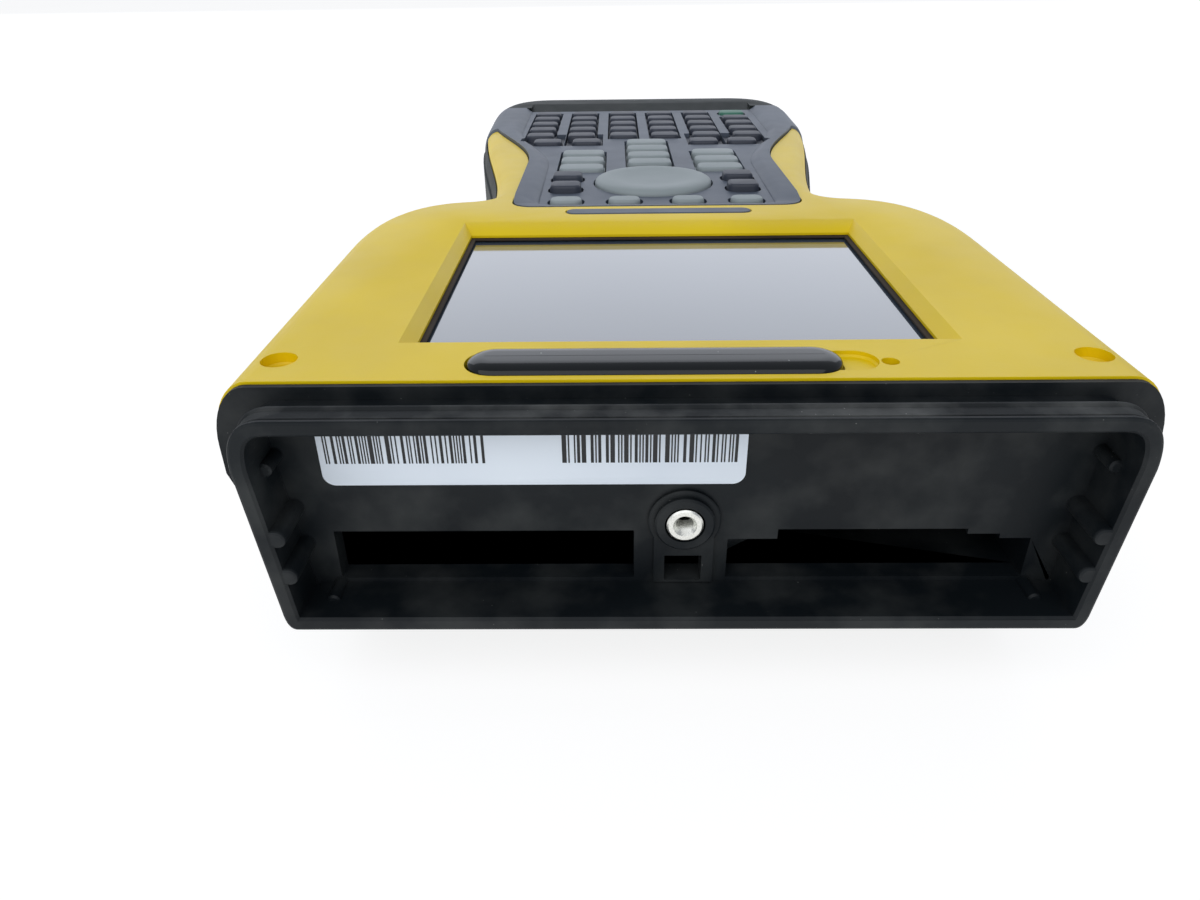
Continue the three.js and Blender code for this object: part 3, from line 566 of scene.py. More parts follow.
def make_finishes():
    """Every finish of the collector, by a short name."""
    colours = bpy.context.scene.collector_colours
    return {
        # Moulded ABS: a satin skin with an even fine texture that spreads highlights into soft bands.
        "yellow": moulded("ABS_moulded_yellow", (*colours.case, 1), linear("#E9C900"), rough=0.42, grain=0.55,
                          depth=0.012, dust=0.06, dust_colour="#8A7A3A", level=0.32),
        # Moulded polycarbonate: near black with a blue cast, slightly mottled, and dusty from use.
        "black": moulded("polycarbonate_moulded_black", (*colours.neck, 1), linear("#0D1216"), rough=0.5,
                         grain=0.7, dust=0.6, level=0.2, speck=1.3),
        # Moulded EPDM rubber: matt and dark, and it holds many pale specks of dust.
        "rubber": moulded("EPDM_rubber_moulded", linear("#171C1F"), linear("#101416"), rough=0.7, grain=0.4,
                          dust=1.6, dust_colour="#D4D6D2", level=0.3, speck=0.8),
        # Overmoulded elastomer of boot and rear case: dark green-black, with a soft low lustre.
        "boot": moulded("elastomer_overmoulded_dark", linear("#141F1E"), linear("#0E1715"), rough=0.58,
                        grain=0.6, dust=0.3, level=0.2),
        # Painted ABS round the keys: blue-grey with a soft satin lustre.
        "grey": moulded("ABS_painted_blue_grey", (*colours.surround, 1), linear("#495260"), rough=0.5,
                        grain=0.45, depth=0.012, dust=0.1),
        # Silicone keys, moulded and lacquered, worn a little shiny: light grey, slate and green.
        "key_light": moulded("silicone_moulded_light_grey", linear("#9AA3A5"), linear("#8D9799"), rough=0.55,
                             grain=0.4, depth=0.012, dust=0.1),
        "key_dark": moulded("silicone_moulded_slate", linear("#343A48"), linear("#2C313D"), rough=0.52,
                            grain=0.4, depth=0.012, dust=0.1),
        "key_green": moulded("silicone_moulded_green", linear("#3A7D66"), linear("#2E6B57"), rough=0.5,
                             grain=0.4, depth=0.012, dust=0.2),
        # Closed-cell foam gasket: dark brown and matt, seen only as a thin line round the screen.
        "foam": moulded("polyurethane_foam_gasket", linear("#3A2C20"), linear("#2A1F17"), rough=0.85,
                        grain=0.3, depth=0.05, dust=0.3),
        # Vinyl label: smooth cool-white film with a slight gloss.
        "label": moulded("vinyl_label_white", linear("#E6EFF8"), linear("#DCE6F1"), rough=0.38, grain=0.3,
                         depth=0.003, dust=0.05, dust_colour="#9A9C9C"),
        # Thermal-transfer ink: matt black bars.
        "ink": moulded("thermal_ink_black", linear("#17181A"), linear("#202124"), rough=0.6, grain=0.3,
                       depth=0.003),
        # Solder mask over fibreglass: smooth green.
        "board": moulded("fibreglass_board_green", linear("#1F5C38"), linear("#174A2C"), rough=0.4,
                         depth=0.01),
        # Shrink-wrapped cell pack: dark grey film.
        "cell": moulded("PVC_shrink_wrap_dark", linear("#30343C"), linear("#262A31"), rough=0.35, grain=0.9),
        # Painted display frame: mid grey.
        "module": moulded("steel_painted_grey", linear("#69727B"), linear("#5C656E"), rough=0.45, depth=0.01),
        # Turned stainless steel: bright, with a fine grain left by the lathe.
        "steel": turned_metal("stainless_steel_turned", linear("#F8F8F2"), linear("#DADBD6"), 0.26),
        # Zinc-plated steel of screws and sockets: greyer and softer than the turned ring.
        "zinc": turned_metal("steel_zinc_plated", linear("#A9ABA9"), linear("#86898A"), 0.34, 0.5),
        # Black-oxide steel of the card shelf: dark and dull, hardly seen inside the slot.
        "oxide": turned_metal("steel_black_oxide", linear("#2A2D30"), linear("#1D2023"), 0.6, 0.5),
        # Gold-flashed brass contacts: warm and bright.
        "contact": turned_metal("brass_gold_flashed", linear("#D8B25A"), linear("#B8923F"), 0.25, 0.4),
        "screen": touch_film(),
        "gloss_black": gloss_plate(),
    }


FINISH = {}


# ------------------------------------------------------------------ settings

class CollectorColours(bpy.types.PropertyGroup):
    """Colours of the large mouldings"""

    case: bpy.props.FloatVectorProperty(
        name="Case", description="Colour of the front case", size=3, subtype="COLOR", min=0, max=1,
        default=linear("#F2D200")[:3])
    neck: bpy.props.FloatVectorProperty(
        name="Card bay", description="Colour of the card-bay moulding", size=3, subtype="COLOR", min=0, max=1,
        default=linear("#12181C")[:3])
    surround: bpy.props.FloatVectorProperty(
        name="Keypad surround", description="Colour of the plate round the keys", size=3, subtype="COLOR",
        min=0, max=1, default=linear("#525C6B")[:3])


class CollectorSizes(bpy.types.PropertyGroup):
    """Sizes of details that the CAD model leaves to the looks"""

    key_draw: bpy.props.FloatProperty(
        name="Key draw", description="How far a key narrows from its foot to its top", default=0.9 * MM,
        min=0.2 * MM, max=2.0 * MM, unit="LENGTH", precision=5)
    bar_count: bpy.props.IntProperty(
        name="Label bars", description="Bars in each block on the label", default=38, min=10, max=60)


# ------------------------------------------------------------------ cases

class COLLECTOR_OT_front_case(bpy.types.Operator):
    """Yellow front case with its window, plate pocket, badge pocket, sound hole and corner recesses"""

    bl_idname = "collector.front_case"
    bl_label = "Front case"

    def execute(self, context):
        case = within(crown(0), seam_side(0, CASE_START, LIP_START - GAP, 6))
        case = less(case, within(crown(0, WALL), seam_side(-3, 0, LENGTH, 6)))
        case = less(case, outside_grip(CHEEK_START - GAP, LENGTH, -20, LIP_GROWTH - GAP))
        case = less(case, upright(surround_outline(GAP), [(SEAM_GRIP - 0.1, 0), (4, 0)]))
        # The window is straight below its bevel, which flares out to the face.
        window = loft([
            corners(WINDOW, -5),
            corners(WINDOW, -1.9),
            corners(WINDOW_RIM, 0.02),
            corners(WINDOW_RIM, 2),
        ])
        (px0, py0, _), (px1, py1, _) = drawn_box("name_plate")
        radius = (py1 - py0) / 2 + GAP - 0.02
        pocket = upright(rounded(px0 - GAP, px1 + GAP, py0 - GAP, py1 + GAP, radius), [(-1.5, 0), (2, 0)])
        step = upright(rounded(px0, 27, 11.8, 18.4, 3.28), [(-0.9, -0.3), (-0.6, 0), (2, 0)])
        (bx0, by0, _), (bx1, by1, _) = drawn_box("keypad_badge")
        radius = (by1 - by0) / 2 + GAP - 0.02
        badge = upright(rounded(bx0 - GAP, bx1 + GAP, by0 - GAP, by1 + GAP, radius), [(-0.9, 0), (2, 0)])
        sound_hole = turned([(1.25, -5), (1.25, 2)], 28.5, 14.6, steps=24)
        recess = [(2.3, -1.8), (2.6, -1.5), (2.6, 2)]
        recesses = [turned(recess, side * 57.4, 16.5, steps=40) for side in (-1, 1)]
        less(case, window, pocket, step, badge, sound_hole, *recesses)
        show(case, "front_case_moulding", FINISH["yellow"], "root", 0.22, node=("front_case",))
        return {"FINISHED"}


class COLLECTOR_OT_rear_case(bpy.types.Operator):
    """Dark rear case with the battery bay, screw bosses and the stylus bore"""

    bl_idname = "collector.rear_case"
    bl_label = "Rear case"

    def execute(self, context):
        end = BOOT_START - GAP
        case = within(lower_body(end), seam_side(-GAP, CASE_START, end, -60))
        rail_lips = within(crown(RAIL_TOP), outside_grip(LIP_START + GAP, end, SEAM_GRIP - 1, LIP_GROWTH))
        cheek_lips = within(crown(0), outside_grip(CHEEK_START, LIP_START - GAP, CHEEK_LOW, LIP_GROWTH))
        cheek_lips = less(cheek_lips, upright(surround_outline(2 * GAP), [(SEAM_GRIP - 0.1, 0), (4, 0)]))
        case = plus(case, rail_lips, cheek_lips)
        case = less(case, lower_body(end - WALL, WALL))
        half, y0, y1, top = 28.5, 62, 140, -25.5
        bay = within(block(-half - 2, half + 2, y0 - 2, y1 + 2, -45, top + 1.5), lower_body(end))
        case = plus(case, bay)
        for i in range(1, 7):
            (sx0, sy0, sz0), (sx1, sy1, _) = drawn_box(f"case_screw_{i}")
            x, y, floor = (sx0 + sx1) / 2, (sy0 + sy1) / 2, sz0 - 0.4
            boss = [(4.2, floor + 2), (4.2, floor + 11)]
            counterbore = [(3.2, floor - 1), (3.2, floor + 1.9), (1.9, floor + 1.9), (1.9, floor + 12)]
            case = plus(case, turned(boss, x, y, steps=32))
            case = less(case, turned(counterbore, x, y, steps=32))
        case = less(case, block(-half, half, y0, y1, -60, top), block(-10, 10, y0 - 3, y0 + 1, -41, -33))
        case = less(case, turned([(1.2, -half - 1.8), (1.2, half + 1.8)], *DOOR_PIN, "x", 24))
        stylus_x, stylus_z = 47.2, -41.8
        case = less(case, turned([(2.7, 84), (2.7, 112)], stylus_x, stylus_z, "y", 32))
        show(case, "rear_case_moulding", FINISH["boot"], "root", 0.3, node=("rear_case",))
        return {"FINISHED"}


class COLLECTOR_OT_battery_door(bpy.types.Operator):
    """Battery door on its pin, with grip grooves and two turn screws"""

    bl_idname = "collector.battery_door"
    bl_label = "Battery door"

    def execute(self, context):
        edge, y0 = 28.2, 62.3
        outer, inner = -46.8, -44.4
        door = block(-edge, edge, y0, DOOR_PIN[0], outer, inner)
        door = plus(door, turned([(2.2, -edge), (2.2, edge)], *DOOR_PIN, "x", 40))
        door = less(door, turned([(1.2, -30), (1.2, 30)], *DOOR_PIN, "x", 24))
        seat = [(3.7, outer - 1), (3.7, outer + 1.5), (1.5, outer + 1.5), (1.5, inner + 1)]
        for x in (-18, 18):
            door = less(door, turned(seat, x, DOOR_SCREW_Y, steps=32))
        grooves = [block(-16, 16, y, y + 1.2, outer - 1, outer + 0.5) for y in range(80, 101, 4)]
        less(door, *grooves)
        show(door, "battery_door_moulding", FINISH["black"], "battery_door", node=("battery_door",))
        for i in (1, 2):
            dress(f"door_screw_{i}", FINISH["zinc"])
        dress("door_hinge_pin", FINISH["steel"])
        return {"FINISHED"}


# ------------------------------------------------------------------ card bay

def bay_ribs():
    """Round-nosed guide ribs down both side walls, and small lugs in the corners of the bay."""
    ribs = []
    for side in (-1, 1):
        for tip, height in ((54.9, -19.8), (54.4, -26.2)):
            x0, x1 = sorted((side * tip, side * 60))
            nose = rounded(x0, x1, height - 1.35, height + 1.35, 1.3)
            ribs.append(endways(nose, [(0.2, -0.4), (0.35, -0.1), (0.6, 0), (BAY_FLOOR + 1, 0)]))
        for x, height in ((57.4, -11), (50.8, -3.8), (51.6, -33.6)):
            ribs.append(turned([(0.7, 4), (1, 4.3), (1, BAY_FLOOR + 1)], side * x, height, "y", 24))
    return ribs


class COLLECTOR_OT_card_bay(bpy.types.Operator):
    """Black card-bay neck with its lip, slots, guide ribs, insert boss and square window"""

    bl_idname = "collector.card_bay"
    bl_label = "Card bay"

    def execute(self, context):
        neck = neck_outline()
        # From the rim inwards: the lip, the step down to the gasket's seat, and the spigot in the case.
        lip = [(0.01, -0.45), (0.12, -0.15), (0.35, 0), (0.8, 0), (0.98, -0.12)]
        seat = [(1.0, -0.9), (8.6, -0.9)]
        spigot = [(8.6, -2.1), (12, -2.1)]
        moulding = endways(neck, [*lip, *seat, *spigot])
        flange = within(crown(0, 0.3), lower_body(40, 0.3), block(-WIDE, WIDE, 8.1, 9, -36, 4))
        moulding = plus(moulding, flange)
        moulding = less(moulding, endways(neck, [(-1, -1.7), (0, -1.8), (0.4, -2.2), (BAY_FLOOR, -2.2)]))
        behind = BAY_FLOOR + 1
        high = LEFT_SLOT[3] + 1.3
        for x0, x1, low, _ in (LEFT_SLOT, RIGHT_SLOT):
            moulding = plus(moulding, block(x0 - 1.2, x1 + 1.2, behind, SLEEVE_END, low - 1.2, high))
        boss = [(5.1, 8.0), (5.3, 8.15), (5.3, behind)]
        collar = [(4.1, 7.1), (4.4, 7.35), (4.4, behind)]
        moulding = plus(moulding, turned(boss, INSERT_X, INSERT_Z, "y"))
        moulding = plus(moulding, turned(collar, INSERT_X, INSERT_Z, "y"))
        moulding = plus(moulding, block(INSERT_X - 4.4, INSERT_X + 4.4, 8.0, behind, -33.2, INSERT_Z))
        slots = (LEFT_SLOT, RIGHT_SLOT, *RIGHT_SLOT_STEPS)
        moulding = less(moulding, *(block(x0, x1, 8, SLEEVE_END + 1, low, top) for x0, x1, low, top in slots))
        moulding = less(moulding, block(-2.5, 3, 5, 20, RIGHT_SLOT[2], -28.3))
        moulding = less(moulding, turned([(2.95, 0), (2.95, 20)], INSERT_X, INSERT_Z, "y"))
        for rib in bay_ribs():
            moulding = plus(moulding, within(rib, endways(neck, [(0.1, -1.4), (behind, -1.4)])))
        show(moulding, "card_bay_moulding", FINISH["black"], "root", 0.15, node=("card_bay_frame",),
             smooth=False)
        dress("card_socket_left", FINISH["black"])
        dress("card_socket_right", FINISH["black"])
        dress("memory_card_socket", FINISH["oxide"])
        return {"FINISHED"}


class COLLECTOR_OT_neck_gasket(bpy.types.Operator):
    """Rubber band round the neck, with a raised ridge at its back edge"""

    bl_idname = "collector.neck_gasket"
    bl_label = "Neck gasket"

    def execute(self, context):
        band = endways(neck_outline(), [(1.3, -0.35), (1.45, -0.12), (3.55, -0.1), (3.7, 0.1), (3.9, 0.2),
                                        (4.3, 0.2), (4.5, 0.1), (4.6, -0.2)])
        less(band, endways(neck_outline(), [(1, -0.6), (5, -0.6)]))
        show(band, "neck_gasket_band", FINISH["rubber"], "root", 0, node=("neck_gasket",))
        return {"FINISHED"}


class COLLECTOR_OT_threaded_insert(bpy.types.Operator):
    """Turned steel insert with a chamfered mouth and thread rings down its bore"""

    bl_idname = "collector.threaded_insert"
    bl_label = "Threaded insert"

    def execute(self, context):
        front = 6.95
        profile = [(2.4, front), (2.65, front + 0.2), (2.65, 11)]
        bore = [(1.9, front - 0.5), (1.75, front - 0.01), (1.35, front + 0.5)]
        for turn in range(6):
            bore.append((1.5, front + 0.7 + turn * 0.5))
            bore.append((1.3, front + 0.95 + turn * 0.5))
        bore.append((1.3, 12))
        insert = less(turned(profile, INSERT_X, INSERT_Z, "y"), turned(bore, INSERT_X, INSERT_Z, "y"))
        show(insert, "threaded_insert_ring", FINISH["steel"], "root", 0, node=("threaded_insert",))
        return {"FINISHED"}


# The six sides of a block by its corners: four in front, then four behind.
BLOCK_SIDES = ((0, 1, 2, 3), (4, 5, 6, 7), (0, 1, 5, 4), (1, 2, 6, 5), (2, 3, 7, 6), (3, 0, 4, 7))


class COLLECTOR_OT_rating_label(bpy.types.Operator):
    """White label with two blocks of plain bars and no lettering"""

    bl_idname = "collector.rating_label"
    bl_label = "Rating label"

    def execute(self, context):
        (x0, y0, z0), (x1, y1, z1) = drawn_box("rating_label")
        label = endways(rounded(x0, x1, z0, z1, 1.8), [(y0 + 0.04, -0.04), (y0 + 0.07, 0), (y1, 0)])
        show(label, "rating_label_film", FINISH["label"], "root", 0, node=("rating_label",))
        draw = random.Random(4)
        count = context.scene.collector_sizes.bar_count
        foot, head = z1 - 6.6, z1 - 0.5
        for name, start, end in (("left", x0 + 0.9, x0 + 23.3), ("right", x1 - 25.7, x1 - 1.3)):
            widths = [draw.choice((1, 1, 1, 2, 2, 3)) for _ in range(2 * count - 1)]
            unit = (end - start) / sum(widths)
            bars = bmesh.new()
            edge = start
            for i, width in enumerate(widths):
                after = edge + width * unit
                if i % 2 == 0:
                    ends = ((edge, foot), (after, foot), (after, head), (edge, head))
                    places = [place(x, y, z) for y in (y0 + 0.01, y0 + 0.055) for x, z in ends]
                    points = [bars.verts.new(at) for at in places]
                    for side in BLOCK_SIDES:
                        bars.faces.new([points[k] for k in side])
                edge = after
            bmesh.ops.recalc_face_normals(bars, faces=bars.faces)
            mesh = bpy.data.meshes.new("bars")
            bars.to_mesh(mesh)
            bars.free()
            block_of_bars = bpy.data.objects.new("bars", mesh)
            context.scene.collection.objects.link(block_of_bars)
            show(block_of_bars, f"rating_label_bars_{name}", FINISH["ink"], "root", 0)
        return {"FINISHED"}


# ------------------------------------------------------------------ display face

class COLLECTOR_OT_display(bpy.types.Operator):
    """Touch panel, its foam gasket and the display module behind"""

    bl_idname = "collector.display"
    bl_label = "Display"

    def execute(self, context):
        dress("touch_panel", FINISH["screen"])
        dress("display_gasket", FINISH["foam"])
        dress("display_module", FINISH["module"])
        return {"FINISHED"}


class COLLECTOR_OT_plates(bpy.types.Operator):
    """Domed gloss plate below the window, and the slim badge above the keys, both plain"""

    bl_idname = "collector.plates"
    bl_label = "Plate and badge"

    def execute(self, context):
        (x0, y0, z0), (x1, y1, z1) = drawn_box("name_plate")
        levels = [(z0, 0.0), (z0 + 0.9, 0.0)]
        for i in range(1, 9):
            turn = math.pi / 2 * i / 8
            levels.append((z0 + 0.9 + (z1 - z0 - 0.9) * math.sin(turn), -2.6 * (1 - math.cos(turn))))
        plate = upright(rounded(x0, x1, y0, y1, (y1 - y0) / 2 - 0.02, 16), levels)
        show(plate, "name_plate_dome", FINISH["gloss_black"], "root", 0, node=("name_plate",))
        (x0, y0, z0), (x1, y1, z1) = drawn_box("keypad_badge")
        badge = upright(rounded(x0, x1, y0, y1, (y1 - y0) / 2 - 0.02), [(z0, 0), (z1 - 0.15, 0), (z1, -0.15)])
        show(badge, "keypad_badge_strip", FINISH["grey"], "root", 0, node=("keypad_badge",))
        dress("microphone", FINISH["zinc"])
        return {"FINISHED"}


# ------------------------------------------------------------------ keypad

WEB_LOW = -2.9
WEB_HIGH = -1.8
KEY_TOP = 0.3
LETTER_START = 190.2
LETTER_PITCH = 10.5
LETTER_X = (-33, -20, -6.8, 6.2, 19.2, 32)
FUNCTION_KEYS = [f"function_key_{i}" for i in range(1, 5)]
SIDE_KEYS = [f"side_key_{side}_{end}" for side in ("left", "right") for end in ("near", "far")]


def column(x, y0, rows, pitch, width, height):
    """A straight column of keys as (x, y, width, height)."""
    return [(x, y0 + row * pitch, width, height) for row in range(rows)]


def letter_columns():
    """Six columns of letter keys. The outer four have one more near the waist, and the last has one fewer."""
    columns = []
    for x in LETTER_X:
        keys = column(x, LETTER_START, 5, LETTER_PITCH, 9.2, 7.6)
        if abs(x) > 12:
            keys.insert(0, (x * 0.91, LETTER_START - LETTER_PITCH, 9.2, 7.6))
        columns.append(keys)
    columns[5].pop()
    return columns


NUMBER_COLUMNS = {
    "left": column(-18.5, 142.5, 3, 9.6, 12.5, 7.8),
    "middle": column(0, 149, 4, 9.6, 12.5, 7.8),
    "right": column(18.5, 142.5, 3, 9.6, 12.5, 7.8),
}


def key_outline(key, grow, roundness):
    """The rounded rectangle of one key from above."""
    x, y, width, height = key
    radius = min(width, height) * roundness + grow
    across = width / 2 + grow
    along = height / 2 + grow
    return rounded(x - across, x + across, y - along, y + along, radius, 6)


def boxed_key(node):
    """The key of one CAD node as (x, y, width, height), with its top."""
    (x0, y0, _), (x1, y1, top) = drawn_box(node)
    return ((x0 + x1) / 2, (y0 + y1) / 2, x1 - x0, y1 - y0), top


def web(a, b, grow, low, high):
    """A block that spans two neighbouring keys."""
    half = a[2] / 2 + grow
    return block(min(a[0], b[0]) - half, max(a[0], b[0]) + half,
                 a[1] - a[3] / 2 - grow, b[1] + b[3] / 2 + grow, low, high)


def strip(keys, top, roundness, draw):
    """Keys that share one moulded web."""
    caps = [pillow(key_outline(key, 0, roundness), WEB_HIGH - 0.4, top, 0.8, draw) for key in keys]
    links = [web(a, b, 0, WEB_LOW, WEB_HIGH) for a, b in zip(keys, keys[1:])]
    return plus(*links, *caps)


class COLLECTOR_OT_keypad_surround(bpy.types.Operator):
    """Blue-grey plate with its sloped well and a cut-out for every key"""

    bl_idname = "collector.keypad_surround"
    bl_label = "Keypad surround"

    def execute(self, context):
        end = BOOT_START - GAP
        # From the side the plate is level with the face at its near edge and then rises to the rails.
        profile = ((90, -20), (end, -20), (end, 3), (111, RAIL_TOP + 0.1), (104, 0.1), (90, 0.1))
        side = sideways(profile, -WIDE, WIDE)
        plate = within(crown(RAIL_TOP), upright(surround_outline(), [(SEAM_GRIP + 0.2, 0), (4, 0)]), side)
        plate = less(plate, outside_grip(LIP_START, LENGTH, -20, LIP_GROWTH - GAP))
        plate = less(plate, within(crown(0.3, WALL), block(-WIDE, WIDE, 90, LENGTH, -20, -3.5)))
        # The walls of the sunken floor flare outwards as they rise.
        well = upright(well_outline(), [(-0.6, 0), (-0.5, 0.05), (-0.3, 0.3), (1.2, 2.6), (4, 2.6)])
        plate = less(plate, well)
        (px0, py0, _), (px1, py1, _) = drawn_box("navigation_pad")
        pad_radius = (px1 - px0) / 2 + 0.4
        holes = [turned([(pad_radius, -9), (pad_radius, 2)], 0, (py0 + py1) / 2, steps=72)]
        # Each hole leaves a clearance of 0.35 mm round its key.
        for node in (*FUNCTION_KEYS, "power_key", *SIDE_KEYS):
            key, _ = boxed_key(node)
            holes.append(upright(key_outline(key, 0.35, 0.4), [(-9, 0), (2, 0)]))
        for keys in (*NUMBER_COLUMNS.values(), *letter_columns()):
            holes.append(plus(*(web(a, b, 0.35, -9, 2) for a, b in zip(keys, keys[1:]))))
        plate = less(plate, *holes)
        show(plate, "keypad_surround_plate", FINISH["grey"], "root", 0.2, node=("keypad_surround",))
        dress("keypad_mat", FINISH["rubber"])
        dress("keypad_board", FINISH["board"])
        return {"FINISHED"}


class COLLECTOR_OT_navigation_pad(bpy.types.Operator):
    """Round dished pad with a soft raised rim"""

    bl_idname = "collector.navigation_pad"
    bl_label = "Navigation pad"

    def execute(self, context):
        (x0, y0, low), (x1, y1, top) = drawn_box("navigation_pad")
        radius = (x1 - x0) / 2
        profile = [(radius, low), (radius, top - 1.3), (radius - 0.1, top - 1.0), (radius - 0.4, top - 0.6),
                   (radius - 1.0, top - 0.25), (radius - 1.9, top - 0.05), (radius - 3.0, top),
                   (radius - 4.2, top - 0.06), (radius - 5.4, top - 0.2), (radius - 7, top - 0.4),
                   (6, top - 0.55), (4, top - 0.66), (1, top - 0.75)]
        pad = turned(profile, (x0 + x1) / 2, (y0 + y1) / 2, steps=96)
        show(pad, "navigation_pad_dish", FINISH["key_light"], "navigation_pad", 0,
             node=("navigation_pad",))
        return {"FINISHED"}


class COLLECTOR_OT_single_keys(bpy.types.Operator):
    """Function, side and power keys, each a cap of its own"""

    bl_idname = "collector.single_keys"
    bl_label = "Single keys"

    def execute(self, context):
        draw = context.scene.collector_sizes.key_draw / MM
        kinds = [(node, "key_light", 0.42) for node in FUNCTION_KEYS]
        kinds += [(node, "key_dark", 0.3) for node in SIDE_KEYS]
        kinds.append(("power_key", "key_green", 0.3))
        for node, finish, roundness in kinds:
            key, top = boxed_key(node)
            cap = pillow(key_outline(key, 0, roundness), WEB_LOW, top, 0.8, draw)
            show(cap, f"{node}_cap", FINISH[finish], node, 0, node=(node,))
        return {"FINISHED"}


class COLLECTOR_OT_key_strips(bpy.types.Operator):
    """Columns of number and letter keys on their webs"""

    bl_idname = "collector.key_strips"
    bl_label = "Number and letter keys"

    def execute(self, context):
        draw = context.scene.collector_sizes.key_draw / MM
        strips = [(f"number_keys_{side}", keys, "key_light") for side, keys in NUMBER_COLUMNS.items()]
        strips += [(f"letter_keys_{i}", keys, "key_dark") for i, keys in enumerate(letter_columns(), 1)]
        for node, keys, finish in strips:
            caps = strip(keys, KEY_TOP, 0.3, draw)
            show(caps, f"{node}_strip", FINISH[finish], node, 0, node=(node,))
        return {"FINISHED"}


# ------------------------------------------------------------------ keypad end

class COLLECTOR_OT_end_boot(bpy.types.Operator):
    """Boot over the keypad end, with three hinged port covers and the ports behind them"""

    bl_idname = "collector.end_boot"
    bl_label = "End boot"

    def execute(self, context):
        far = LENGTH + 1
        cover_face = 263.2
        hinge_z = COVER_PIN[1]
        shell = ((BOOT_START, 10), (BOOT_START, -60), (far, -60), (far, 10))
        room = ((240, 10), (240, -60), (260, -60), (260, 10))
        boot = within(crown(BOOT_TOP), keel(GRIP, shell))
        boot = less(boot, within(crown(-1.8, WALL + 0.6), keel(GRIP, room, WALL + 0.6)))
        slope = ((240, 3), (240, -1.4), (242.4, -1.4), (250, RAIL_TOP), (250, 3))
        boot = less(boot, sideways(slope, -40, 40))
        covers = ("power_cover", "serial_cover", "usb_cover")
        for node in covers:
            (x0, _, _), (x1, _, z1) = drawn_box(node)
            boot = less(boot, block(x0 - GAP, x1 + GAP, cover_face, far, hinge_z - 1.5, z1 + 0.4))
        serial_opening = block(-15.6, 15.6, 250, far, PORT_Z - 6.3, PORT_Z + 6.3)
        usb_opening = block(19.6, 31.4, 250, far, PORT_Z - 5, PORT_Z + 5)
        power_opening = turned([(4.6, 250), (4.6, far)], -25.6, PORT_Z, "y", 40)
        for opening in (serial_opening, usb_opening, power_opening):
            boot = less(boot, opening)
        show(boot, "end_boot_moulding", FINISH["boot"], "root", 0.25, node=("end_boot",))
        for node in covers:
            (x0, y0, z0), (x1, y1, z1) = drawn_box(node)
            flap = plus(block(x0, x1, y0, y1, hinge_z, z1),
                        turned([(1.2, x0), (1.2, x1)], *COVER_PIN, "x", 32))
            pull = turned([(1.6, y1 - 0.35), (1.6, y1 + 1)], (x0 + x1) / 2, z1 - 2.6, "y", 32)
            show(less(flap, pull), f"{node}_flap", FINISH["rubber"], node, 0.25, node=(node,))
        dress("serial_connector", FINISH["zinc"])
        dress("usb_port", FINISH["zinc"])
        dress("power_jack", FINISH["black"])
        return {"FINISHED"}


class COLLECTOR_OT_inner_parts(bpy.types.Operator):
    """Finishes for the parts inside the cases: boards, battery, contacts, speaker, screws and stylus"""

    bl_idname = "collector.inner_parts"
    bl_label = "Inner parts"

    def execute(self, context):
        dress("main_board", FINISH["board"])
        dress("battery_pack", FINISH["cell"])
        dress("battery_contacts", FINISH["contact"])
        dress("speaker", FINISH["zinc"])
        dress("stylus", FINISH["black"])
        for i in range(1, 7):
            dress(f"case_screw_{i}", FINISH["zinc"])
        return {"FINISHED"}


# ------------------------------------------------------------------ studio

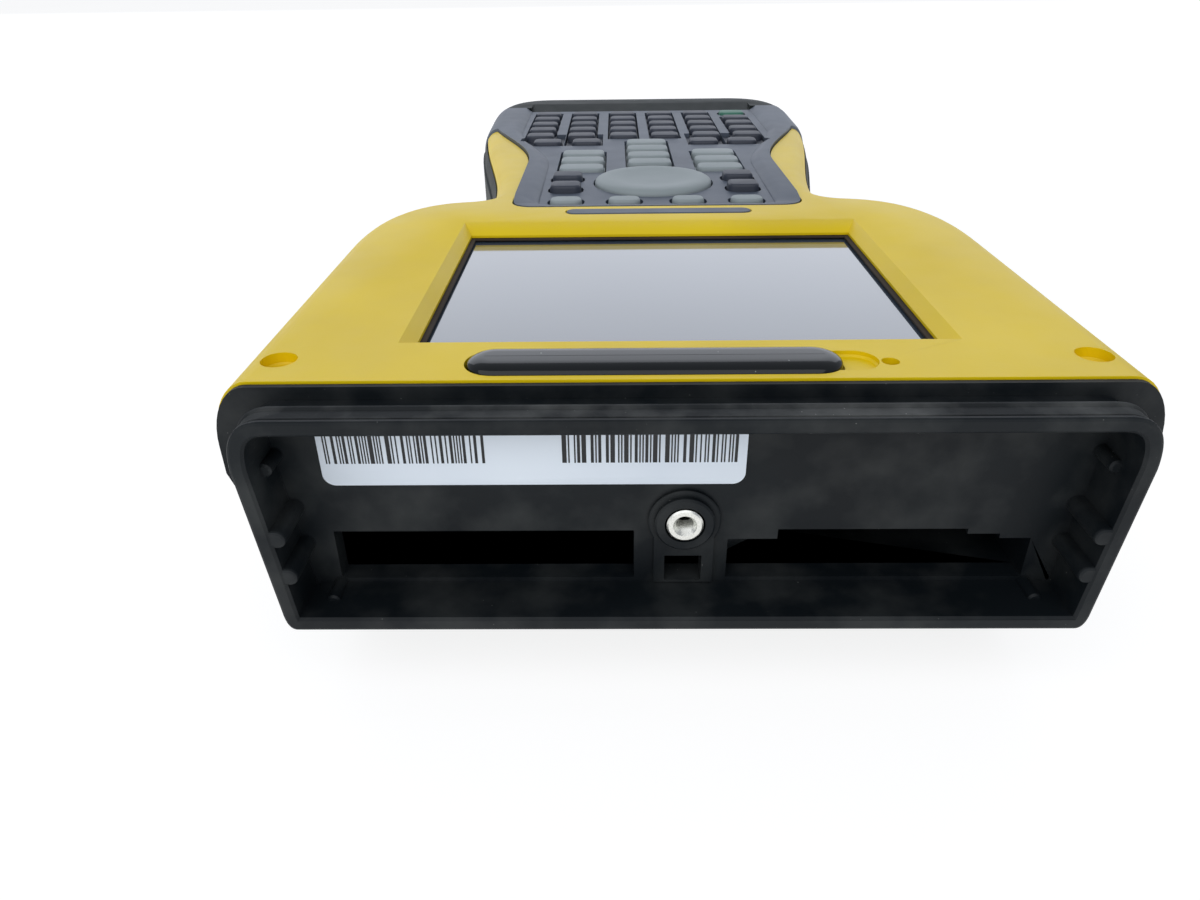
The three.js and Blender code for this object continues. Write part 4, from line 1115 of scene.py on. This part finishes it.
class COLLECTOR_OT_studio(bpy.types.Operator):
    """Plain white floor, two soft panels of light and the camera"""

    bl_idname = "collector.studio"
    bl_label = "Studio"

    def execute(self, context):
        scene = context.scene
        floor_shape = bmesh.new()
        bmesh.ops.create_grid(floor_shape, x_segments=4, y_segments=4, size=6.0)
        mesh = bpy.data.meshes.new("studio_floor")
        floor_shape.to_mesh(mesh)
        floor_shape.free()
        floor = bpy.data.objects.new("studio_floor", mesh)
        floor.location.z = CAD_BOX[0][2] - 0.5 * MM
        scene.collection.objects.link(floor)
        material, shader, coords = surface("paper_sweep_white")
        fibre = add(material, "TexNoise", {"Vector": coords, "Scale": 1 / (400 * MM), "Detail": 2.0})
        fibres = ((0.3, linear("#959595")), (0.7, linear("#999999")))
        tone = add(material, "ValToRGB", {"Fac": (fibre, "Fac")}, fibres)
        join(material, tone, "Color", shader, "Base Color")
        shader.inputs["Roughness"].default_value = 0.9
        shader.inputs["Specular IOR Level"].default_value = 0.0
        shader.inputs["Emission Color"].default_value = linear("#FFFFFF")
        shader.inputs["Emission Strength"].default_value = 0.82
        mesh.materials.append(material)

        world = bpy.data.worlds.new("studio")
        world.use_nodes = True
        world.node_tree.nodes["Background"].inputs["Color"].default_value = linear("#EEF4FF")
        world.node_tree.nodes["Background"].inputs["Strength"].default_value = 0.42
        scene.world = world
        # Each light: name, place, aim, width and height in metres, watts and colour.
        lights = (
            ("back_panel", (0.0, 1.6, 0.75), (0.0, 0.0, 0.1), (3.0, 1.4), 12.5, "#F2F6FF"),
            ("front_panel", (-0.3, -1.0, 0.95), (0.0, 0.0, 0.0), (2.6, 1.6), 12.5, "#FFFFFF"),
        )
        for name, spot, target, size, power, colour in lights:
            light = bpy.data.lights.new(name, "AREA")
            light.shape = "RECTANGLE"
            light.size, light.size_y = size
            light.energy = power
            light.color = linear(colour)[:3]
            lamp = bpy.data.objects.new(name, light)
            lamp.location = spot
            lamp.visible_camera = False
            lamp.rotation_euler = (Vector(target) - Vector(spot)).to_track_quat("-Z", "Y").to_euler()
            scene.collection.objects.link(lamp)
        scene.view_settings.view_transform = "Standard"

        camera = bpy.data.cameras.new("camera")
        camera.lens = 25.98
        camera.sensor_width = 36.0
        camera.shift_x = -0.0022
        camera.shift_y = -0.0057
        camera.clip_start = 0.005
        viewer = bpy.data.objects.new("camera", camera)
        # Where the camera stands in metres, and how far it looks down, turns aside and tilts in radians.
        stand = (-0.00953, -0.22886, 0.09651)
        pitch, yaw, roll = 0.5135, -0.0183, 0.0141
        across = Vector((math.cos(yaw), -math.sin(yaw), 0))
        ahead = Vector((math.sin(yaw) * math.cos(pitch), math.cos(yaw) * math.cos(pitch), -math.sin(pitch)))
        down = ahead.cross(across)
        right = math.cos(roll) * across + math.sin(roll) * down
        up = math.sin(roll) * across - math.cos(roll) * down
        turn = Matrix((right, up, -ahead)).transposed()
        viewer.matrix_world = Matrix.Translation(stand) @ turn.to_4x4()
        scene.collection.objects.link(viewer)
        scene.camera = viewer
        return {"FINISHED"}


PIECES = (
    COLLECTOR_OT_front_case,
    COLLECTOR_OT_rear_case,
    COLLECTOR_OT_battery_door,
    COLLECTOR_OT_card_bay,
    COLLECTOR_OT_neck_gasket,
    COLLECTOR_OT_threaded_insert,
    COLLECTOR_OT_rating_label,
    COLLECTOR_OT_display,
    COLLECTOR_OT_plates,
    COLLECTOR_OT_keypad_surround,
    COLLECTOR_OT_navigation_pad,
    COLLECTOR_OT_single_keys,
    COLLECTOR_OT_key_strips,
    COLLECTOR_OT_end_boot,
    COLLECTOR_OT_inner_parts,
    COLLECTOR_OT_studio,
)


class COLLECTOR_PT_looks(bpy.types.Panel):
    """Buttons that build the data collector's looks, piece by piece"""

    bl_label = "Data collector"
    bl_idname = "COLLECTOR_PT_looks"
    bl_space_type = "VIEW_3D"
    bl_region_type = "UI"
    bl_category = "Collector"

    def draw(self, context):
        for settings in (context.scene.collector_colours, context.scene.collector_sizes):
            for name in settings.bl_rna.properties.keys():
                if name not in ("rna_type", "name"):
                    self.layout.prop(settings, name)
        for piece in PIECES:
            self.layout.operator(piece.bl_idname)


def register():
    for group in (CollectorColours, CollectorSizes, *PIECES, COLLECTOR_PT_looks):
        bpy.utils.register_class(group)
    bpy.types.Scene.collector_colours = bpy.props.PointerProperty(type=CollectorColours)
    bpy.types.Scene.collector_sizes = bpy.props.PointerProperty(type=CollectorSizes)


def unregister():
    del bpy.types.Scene.collector_sizes
    del bpy.types.Scene.collector_colours
    for group in reversed((CollectorColours, CollectorSizes, *PIECES, COLLECTOR_PT_looks)):
        bpy.utils.unregister_class(group)


def main():
    register()
    FINISH.update(make_finishes())
    for piece in PIECES:
        section, action = piece.bl_idname.split(".")
        getattr(getattr(bpy.ops, section), action)()


if __name__ == "__main__":
    main()
